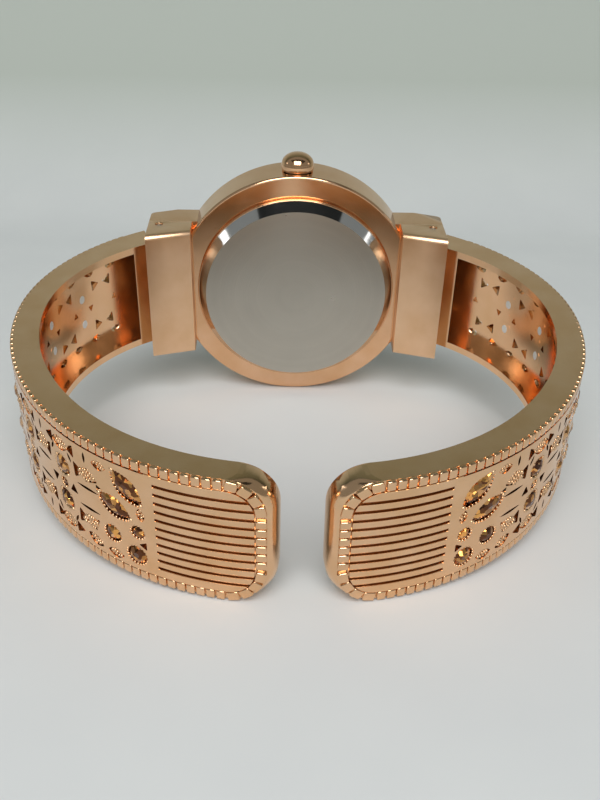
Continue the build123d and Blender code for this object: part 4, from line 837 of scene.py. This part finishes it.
# %% The plate with its rolled end
HALF_WIDTH, THICK, CORNER, SINK, WALL, SHELL = 7.2, 3.05, 3.9, 0.34, 0.9, 1.35
ROLL_BACK, ROLL_DEPTH, FULLNESS, FOOT = 1.25, 1.6, 1.35, 0.5
UNDER = 0.01 - THICK
tip = rounded_box(0, TIP_END, HALF_WIDTH, -THICK, -SINK, CORNER)
levels = []
for part in (0.0, 0.03, 0.1, 0.22, 0.4, 0.65):
    back = ROLL_BACK * (1 - (1 - (1 - part) ** FULLNESS) ** (1 / FULLNESS))
    levels.append((-SINK - ROLL_DEPTH * part, back))
for part in (0.5, 0.18, 0.0):
    levels.append((-THICK + FOOT * part, FOOT * (1 - math.sqrt(1 - (1 - part) ** 2))))
slices(tip, [height for height, back in levels], (0, 0, 1))
for height, back in levels:
    with edited(tip, points=lambda place: abs(place.z - height) < 1e-4 and place.x < CORNER + 0.01):
        bpy.ops.transform.translate(value=(back, 0, 0))
with edited(tip, faces=lambda middle, normal: normal.z < -0.99 and middle.z < UNDER):
    bpy.ops.mesh.inset(thickness=WALL, depth=0)
with edited(tip, points=lambda place: abs(place.x - TIP_END + WALL) < 0.01 and place.z < UNDER):
    bpy.ops.transform.translate(value=(WALL, 0, 0))


def is_hollow(middle, normal):
    """Whether a face is the inset one on the underside."""
    return normal.z < -0.99 and middle.z < UNDER and abs(middle.y) < 1 and 3 < middle.x < 11


with edited(tip, faces=is_hollow):
    extrude(THICK - SHELL)
with edited(tip, faces=lambda middle, normal: middle.x > TIP_END - 0.01):
    bpy.ops.mesh.delete(type="FACE")
slices(tip, steps(0.7, 0.7, 17), (1, 0, 0))
on_cuffs([tip], "tip_plate", 35, curved=True)

# %% [markdown]
# The ribs
#
# The ribs are what is left of a thin slab after eleven grooves have been cut, and their edges are eased.
# The grooves' floor is a separate dull slip, painted dark as painted shade for the bottom of a narrow cut.

# %% Ribs, and the floor of their grooves, with painted shade
RIB_STEP, GROOVE, GROOVES_EACH_SIDE = 1.0, 0.32, 5
field = rounded_box(2.36, TIP_END, 6.1, -0.42, 0.0, 2.8)
rows = range(-GROOVES_EACH_SIDE, GROOVES_EACH_SIDE + 1)
cut_out(field, joined([box(6.6, RIB_STEP * k, -0.2, (10.7, GROOVE, 0.8)) for k in rows], "grooves"))
with edited(field, edges=lambda a, b: abs(a.z) + abs(b.z) < 1e-4 and min(a.x, b.x) < TIP_END - 0.1):
    bpy.ops.mesh.bevel(offset=0.07, segments=2)
slices(field, steps(3.0, 0.8, 12), (1, 0, 0))
on_cuffs([field], "ribs", 40, curved=True)
floor = rounded_box(2.4, 12.1, 6.0, -0.4, -0.32, 2.7)
slices(floor, steps(3.0, 1.0, 10), (1, 0, 0))
for piece in on_cuffs([floor], "groove_floor"):
    # The groove floor gets the painted shade.
    piece.data.materials[0] = PAINTED_SHADE_PLATING

# %% [markdown]
# The border of blocks
#
# A row of small blocks runs round the tip and along both edges of the cuff. One block is a cube with
# rounded edges. At the tip they line up with the ribs, and at the corners they turn with the outline.

# %% Blocks round the tip and along the edges
EDGE_LINE, EDGE_START, EDGE_BLOCKS, CORNER_REACH, END_LINE = 6.66, 5.7, 66, 3.37, 0.54
block = box(0, 0, -0.25, (0.87, 1.04, 0.5))
with edited(block):
    bpy.ops.mesh.bevel(offset=0.13, segments=2)
blocks = []
for side in (-1, 1):
    for u in steps(EDGE_START, RIB_STEP, EDGE_BLOCKS):
        blocks.append(laid(block, u, side * EDGE_LINE))
    for turn in steps(11.25, 22.5, 4):
        u, z = beside(CORNER + ROLL_BACK, HALF_WIDTH - CORNER, turn, 0, CORNER_REACH)
        blocks.append(laid(block, u, side * z, 0, side * turn, (1.4, 1, 1)))
    for z in steps(0.5 * RIB_STEP, RIB_STEP, 3):
        blocks.append(laid(block, ROLL_BACK + END_LINE, side * z, 0, 90))
discard(block)
on_cuffs(blocks, "edge_blocks", 60)

# %% [markdown]
# The open-work
#
# The face of the cuff is smooth, with windows cut in it: round ones for the stones, pointed ones for the
# long stones, triangles, and leaves filled with grains. Past the tip they repeat in columns, with a
# star of triangles and crescents in each.

# %% Where the windows are
COLUMNS, BETWEEN = steps(20.0, 7.6, 7), 3.8
LARGE = [(u + BETWEEN, z, 1.25) for u in COLUMNS[:-1] for z in (-2.1, 2.1)]
SMALL = [(u + BETWEEN, 0.0, 0.62) for u in COLUMNS[:-1]] + [(14.0, -1.3, 0.8)]
COLLAR = [(14.3, -4.3, 1.15), (17.1, -2.8, 1.05)]
MARQUISES = [(14.9, 3.6, 45.0, 2.3), (16.6, 0.75, 24.0, 2.2)]
GRAINED = [(13.5, 1.0, 80, 0.75), (16.9, -5.2, 0, 1.0), (18.1, 4.9, 0, 0.9), (19.6, -4.9, 20, 1.1)]
GRAINED += [(u + BETWEEN, z, 0, 1.35) for u in COLUMNS[:-1] for z in (-4.75, 4.75)]
GRAINED_CORNERS = [(19.5, 2.85, 100, 1.05), (19.5, -2.7, 170, 0.95)]
TIP_TRIANGLES = [(13.35, -2.75, 30, 0.5), (18.35, 2.0, 200, 0.5)]
TRIANGLES, CRESCENTS = [], []
for u in COLUMNS:
    for way in (1,) if u == COLUMNS[0] else (-1, 1):
        for side in (-1, 1):
            TRIANGLES.append((u + way * 1.2, side * 2.85, 90 + 90 * side + 26 * way * side, 1.0))
            TRIANGLES.append((u + way * 2.05, side * 4.8, -90 * side, 0.8))
            CRESCENTS.append((u + way * 2.35, side * 3.75, 62 * side * way, 0.55))
        TRIANGLES.append((u + way * 2.2, 0, 90 - 90 * way, 0.62))
    for side in (-1, 1):
        CRESCENTS.append((u, side * 1.25, 0, 1.5))
        CRESCENTS.append((u, side * 4.95, 90, 0.62))
print(len(TIP_TRIANGLES + TRIANGLES), "triangles and", len(GRAINED), "grained windows on each cuff")

# %% [markdown]
# Three cutters
#
# Three cutters are enough: a round one, a pointed oval, which is a cylinder with its sides pinched, and
# a triangle with rounded corners. Copies are sized, turned and laid in every window's place. Cutters
# that touch in one mesh spoil the boolean, so they go in sets that are cut one after the other.

# %% Cutters for the windows
CUT_BOTTOM, CUT_TOP, EASE = -0.9, 0.4, 0.08
round_cutter, long_cutter, corner_cutter = cylinder(20), cylinder(16), cylinder(3)
for vertex in long_cutter.data.vertices:
    vertex.co.y *= 0.5 * (1 - 0.5 * vertex.co.x**2)
with edited(corner_cutter, edges=lambda a, b: abs(a.z - b.z) > 0.5):
    bpy.ops.mesh.bevel(offset=0.22, segments=3)


def cutters(master, places, size_of):
    """Copies of a cutter in the places of a list, each as wide as a function of its reach says."""
    high, middle = CUT_TOP - CUT_BOTTOM, (CUT_TOP + CUT_BOTTOM) / 2
    return [laid(master, u, z, middle, turn, (*size_of(reach), high)) for u, z, turn, reach in places]


def eased(reach):
    return reach + EASE, reach + EASE


circles = [(u, z, 0, r) for u, z, r in LARGE + SMALL + COLLAR]
places = TIP_TRIANGLES + TRIANGLES + GRAINED_CORNERS
corners = cutters(corner_cutter, places, eased)
thin = cutters(long_cutter, CRESCENTS, lambda reach: (reach, 0.34))
cutter_sets = (
    cutters(round_cutter, circles, eased),
    cutters(long_cutter, MARQUISES, lambda reach: (reach + EASE, (reach + EASE) * 1.1)),
    cutters(long_cutter, GRAINED, lambda reach: (reach, reach * 1.25)),
    *(thin[k::2] for k in range(2)),
    *(corners[k::3] for k in range(3)),
)
print("cutters in each set:", [len(cutter_set) for cutter_set in cutter_sets])

# %% [markdown]
# The smooth face
#
# The cutters go through one thin slab. The slab is then sliced about every millimetre, so that it bends
# in even steps, and four times lengthwise, which keeps its faces from becoming slivers.

# %% The smooth face with its windows
middle, length = (TIP_END + RELIEF_END) / 2, RELIEF_END - TIP_END
face_slab = box(middle, 0, -FLOOR / 2, (length, 12.1, FLOOR))
for cutter_set in cutter_sets:
    cut_out(face_slab, joined(cutter_set, "cutters"))
    print("faces left after a set of cuts:", len(face_slab.data.polygons))
slices(face_slab, steps(TIP_END + 1.1, 1.1, 52), (1, 0, 0))
slices(face_slab, steps(-4.5, 3.0, 4), (0, 1, 0))
on_cuffs([face_slab], "open_work", 30, curved=True)

# %% [markdown]
# Holes through the cuffs
#
# Behind the triangles small holes go on through the cuff, and light falls through them. The floor that the
# other windows show gets a dark plating, painted shade for a deep recess.

# %% Holes through the cuffs, and painted shade on the floor of the windows
HOLE_MIDDLE, HOLE_LENGTH, HOLE_EDGE = -0.8, 2.4, 4
holes = [
    laid(corner_cutter, u, z, HOLE_MIDDLE, turn, (reach * 0.92, reach * 0.92, HOLE_LENGTH))
    for u, z, turn, reach in TRIANGLES
    if abs(z) < HOLE_EDGE
]
for cutter, node in zip(wrapped(holes, "holes"), ("cuff_right", "cuff_left")):
    cuff = SKINS[node]
    cut_out(cuff, cutter)
    smooth(cuff, 25)
    true_normals(cuff, cuff_axis, ACROSS)
    # The faces of the windows' floor get the painted shade.
    cuff.data.materials.append(PAINTED_SHADE_PLATING)
    for face in cuff.data.polygons:
        u, z, height = off_cuff(TO_WATCH @ face.center)
        if TIP_END < u < RELIEF_END and abs(z) < 6 and -0.7 < height < -0.5:
            face.material_index = 1
discard(round_cutter, long_cutter, corner_cutter)

# %% [markdown]
# Backs of the seats
#
# The round stones sit in holes that go through the cuff. A disc closes each hole, flush with the inner
# side, and also the three empty seats near the hinge.

# %% Backs of the stones' seats
seat = cylinder(28)
empty_seats = [(COLUMNS[-1] + BETWEEN, z, r) for z, r in ((-2.1, 1.25), (0.0, 0.62), (2.1, 1.25))]
places = LARGE + SMALL + COLLAR + empty_seats
seats = [laid(seat, u, z, -1.24, 0, (r + 0.1, r + 0.1, 0.24)) for u, z, r in places]
discard(seat)
on_cuffs(seats, "seat_backs", 30, curved=True)

# %% [markdown]
# Foil backs
#
# Such stones have a silver foil on their backs, and from the inside of the cuff each large stone shows
# as a pale spot. A spot is a low cylinder with its back face drawn in, set in the seat's back.

# %% Silvered spots behind the large stones
SPOT_RADIUS, SPOT_THICK = 0.66, 0.14
foil = cylinder(16, SPOT_RADIUS, SPOT_THICK)
with edited(foil, faces=lambda middle, normal: normal.z < -0.9):
    bpy.ops.transform.resize(value=(0.7, 0.7, 1), center_override=(0, 0, -SPOT_THICK / 2))
spots = [laid(foil, u, z * 0.85, -1.34, 0, (1, 1.1, 1)) for u, z, r in LARGE]
discard(foil)
for piece in on_cuffs(spots, "stone_foils", 30, stuff="champagne_stone"):
    piece.data.materials[0] = STONE_FOIL

# %% [markdown]
# Granulation
#
# The leaf-shaped windows are filled with tiny grains, and each column has two raised leaves of them. A
# grain is an icosahedron, smooth-shaded. The grains lie in loose rows, each a little out of line and of
# its own size. Single rows of them, the beads, follow the edge of every stone.

# %% Grains and beads
ROW, STEP, LOOSE, BEAD_STEP = 0.3, 0.34, 0.05, 0.36
bpy.ops.mesh.primitive_ico_sphere_add(subdivisions=1, radius=0.23, location=(0, 0, 0))
grain = bpy.context.active_object
random.seed(7)
grains = []


def fill(u, z, turn, inside, lift=0.0):
    """Lay grains round a middle wherever a test of the place along and across it holds."""
    for row in range(-8, 9):
        for step in range(-8, 9):
            along = (step + 0.5 * (row % 2)) * STEP + random.uniform(-LOOSE, LOOSE)
            across = row * ROW + random.uniform(-LOOSE, LOOSE)
            if inside(along, across):
                size = (random.uniform(0.75, 1.05),) * 3
                height = random.uniform(-0.28, -0.16) + lift
                spin = random.uniform(0, 90)
                grains.append(laid(grain, *beside(u, z, turn, along, across), height, spin, size))


def in_leaf(reach):
    """A test for places inside a leaf-shaped window."""
    def inside(along, across):
        part = min(abs(along) / (reach * 0.93), 1)
        return part < 1 and abs(across) < reach * 0.59 * (1 - 0.5 * part**2) * math.sqrt(1 - part**2)
    return inside


for u, z, turn, reach in GRAINED:
    fill(u, z, turn, in_leaf(reach))
for u, z, turn, reach in GRAINED_CORNERS:
    fill(u, z, turn, lambda along, across: math.hypot(along, across) < reach * 0.6)
for u in COLUMNS:
    for side in (-1, 1):
        fill(u, 2.95 * side, 0, in_leaf(1.35), 0.15)
for u, z, r in COLLAR + SMALL + LARGE:
    for turn in turns(int(math.tau * (r + 0.1) / BEAD_STEP)):
        grains.append(laid(grain, *beside(u, z, turn, r + 0.05), -0.12, 0, (0.8, 0.8, 0.8)))
for u, z, turn, reach in MARQUISES:
    for angle in map(math.radians, turns(34)):
        along = (reach + 0.03) * math.cos(angle)
        across = (reach + 0.03) * 0.55 * math.sin(angle) * (1 - 0.5 * math.cos(angle) ** 2)
        place = beside(u, z, turn, along, across)
        grains.append(laid(grain, *place, -0.13, 0, (0.75, 0.75, 0.75)))
print(len(grains), "grains")
discard(grain)
on_cuffs(grains, "grains", 80)

# %% [markdown]
# Cut stones
#
# A brilliant has a flat table, a ring of sloping facets and a pointed back. It starts as a low cylinder,
# its girdle. The top face is extruded, drawn in and turned by half a facet, and the twisted sides are
# split into triangles, which gives the star of kite-like flashes. A marquise is the same stone drawn
# out, with its ends pinched.

# %% One brilliant and one marquise
CROWN_FACETS, BACK_FACETS = ((0.30, 0.70), (0.20, 0.34)), ((-0.30, 0.45), (-0.16, 0.12))


def brilliant(sides):
    """A cut stone one millimetre in radius, with its girdle at the origin."""
    stone = cylinder(sides, 1, 0.1)
    drawn_in(stone, 1, 1.0, CROWN_FACETS, turn=math.pi / sides)
    drawn_in(stone, -1, 1.0, BACK_FACETS, turn=math.pi / sides)
    with edited(stone):
        bpy.ops.mesh.quads_convert_to_tris(quad_method="FIXED", ngon_method="BEAUTY")
    return stone


round_cut, long_cut = brilliant(8), brilliant(10)
for vertex in long_cut.data.vertices:
    vertex.co.y *= 1 - 0.42 * vertex.co.x**2
print("a stone has", len(round_cut.data.polygons), "facets")

# %% [markdown]
# Setting the stones
#
# Each stone is sized to its window and sunk until its girdle lies under the edge. No two sit quite
# level, which makes them flash one by one, so each gets a small random lean.

# %% Stones in their places
GIRDLE, LEAN_MOST = -0.32, 0.13
random.seed(11)


def set_stone(cut, u, z, height, turn, size):
    """A copy of a cut stone in its seat, leaning a little."""
    x_lean, y_lean = (Matrix.Rotation(random.uniform(-LEAN_MOST, LEAN_MOST), 4, axis) for axis in "XY")
    return copy_at(cut, flat_place(u, z, height, turn) @ x_lean @ y_lean @ Matrix.Diagonal((*size, 1)))


stones = [
    set_stone(round_cut, u, z, GIRDLE, 7 * k, (r, r, r * 0.85))
    for k, (u, z, r) in enumerate(LARGE + SMALL + COLLAR)
]
marquises = [
    set_stone(long_cut, u, z, -0.3, turn, (reach, reach * 0.52, 0.85)) for u, z, turn, reach in MARQUISES
]
discard(round_cut, long_cut)
for made, name in ((stones, "round_stones"), (marquises, "marquise_stones")):
    for piece, side in zip(on_cuffs(made, name + "_cut", stuff="champagne_stone"), ("right", "left")):
        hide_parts(name + "_" + side)

# %% [markdown]
# Collars and claws
#
# Each stone sits in a raised collar, and four claws are pushed over its edge. The collar is a slim
# torus, and a claw is a small bead on the collar that leans over the stone.

# %% Collars and claws round the stones
bpy.ops.mesh.primitive_torus_add(major_radius=1, minor_radius=0.13, major_segments=28, minor_segments=8)
ring = bpy.context.active_object
bpy.ops.mesh.primitive_ico_sphere_add(subdivisions=2, radius=0.24, location=(0, 0, 0))
claw = bpy.context.active_object
claw.scale = (1.25, 0.8, 0.9)
bpy.ops.object.transform_apply()
collars = []
for u, z, r in LARGE + SMALL[:-1]:
    reach = r + 0.05
    collars.append(laid(ring, u, z, -0.1, 0, (reach, reach, 0.9)))
    if r > 0.8:
        for turn in steps(45, 90, 4):
            collars.append(laid(claw, *beside(u, z, turn, reach * 0.93), -0.04, turn, (0.8, 0.8, 0.6)))
for u, z, turn, reach in MARQUISES:
    for way in (-1, 1):
        place = beside(u, z, turn, way * reach * 0.95)
        collars.append(laid(claw, *place, -0.06, turn, (1.1, 1.1, 0.7)))
discard(ring, claw)
on_cuffs(collars, "collars", 60)

# %% [markdown]
# The floor and the wall
#
# Polished metal shows its surroundings more than itself. The wall behind curves up from the floor
# without a corner: the back edge of a plane is extruded upwards, and the fold is rounded with a bevel.

# %% The floor and the wall behind
BACK_EDGE, WALL_HEIGHT, FOLD_RADIUS = 0.18, 0.7, 0.07


def sheet(name, place, size):
    """A level sheet that is only part of the stage."""
    bpy.ops.mesh.primitive_plane_add(size=1, location=place)
    made = bpy.context.active_object
    made.name = name
    made.scale = (*size, 1)
    bpy.ops.object.transform_apply()
    return made


def in_fold(*ends):
    return all(abs(end.y - BACK_EDGE) + abs(end.z) < 1e-4 for end in ends)


cove = sheet("cove", (0, -0.3, 0), (2.4, 0.96))
with edited(cove, edges=in_fold):
    extrude(WALL_HEIGHT)
with edited(cove, edges=in_fold):
    bpy.ops.mesh.bevel(offset=FOLD_RADIUS, segments=16)
smooth(cove, 60)
print("the cove has", len(cove.data.polygons), "faces")

# %% [markdown]
# The cloth
#
# The cloth is pale and rough, and a little uneven on the floor. On the wall its colour is painted darker
# than on the floor, and darker still with height, as painted shade; the rims of the cuffs mirror that
# darker part, which turns them olive.

# %% The cove's cloth
cloth, tree, shader = blank("pale cloth", Specular_IOR_Level=0.2, Roughness=0.8)
place = wire(tree, "TexCoord").outputs["Object"]
height = wire(tree, "SeparateXYZ", {0: place}).outputs[2]
rise, painted_wall_shade = ranged(tree, height, (0.0, 0.03)), ranged(tree, height, (0.06, 0.30))
# Painted shade: the wall's colour darkens with height.
wall = mixed(tree, painted_wall_shade, (0.50, 0.54, 0.49, 1), (0.16, 0.19, 0.15, 1))
floor = mixed(tree, noise(tree, place, 60, 3), (0.78, 0.80, 0.80, 1), (0.72, 0.74, 0.75, 1))
tree.links.new(mixed(tree, rise, floor, wall), shader.inputs["Base Color"])
cove.data.materials.append(cloth)
print("cloth:", [node.bl_idname for node in tree.nodes])

# %% [markdown]
# Light
#
# One large soft lamp stands above the viewer, and two faint ones graze the sides. A dark card hangs
# overhead, as an unlit ceiling, and puts black into the lid's edge and the stones.

# %% Lamps, ceiling and world
AIM = Vector((0, 0, 0.01))


def lamp(name, place, size, power):
    """A soft square lamp, aimed at the watch."""
    data = bpy.data.lights.new(name, "AREA")
    data.size = size
    data.energy = power
    made = bpy.data.objects.new(name, data)
    bpy.context.scene.collection.objects.link(made)
    made.location = place
    made.rotation_euler = (AIM - Vector(place)).to_track_quat("-Z", "Y").to_euler()


lamp("key", (-0.02, -0.40, 0.42), 0.42, 2.95)
lamp("left", (-0.66, -0.03, 0.27), 0.10, 0.06)
lamp("right", (0.66, -0.03, 0.25), 0.10, 0.06)
card = sheet("ceiling_card", (0.06, -0.36, 0.66), (1.0, 0.56))
card.data.materials.append(blank("dark ceiling", Base_Color=(0.02, 0.02, 0.02, 1))[0])
world = bpy.data.worlds.new("room")
world.use_nodes = True
background = world.node_tree.nodes["Background"]
background.inputs["Color"].default_value = (0.80, 0.84, 0.83, 1)
background.inputs["Strength"].default_value = 0.30
bpy.context.scene.world = world
bpy.context.scene.view_settings.view_transform = "Standard"
print("lamps:", [light.name for light in bpy.data.lights])
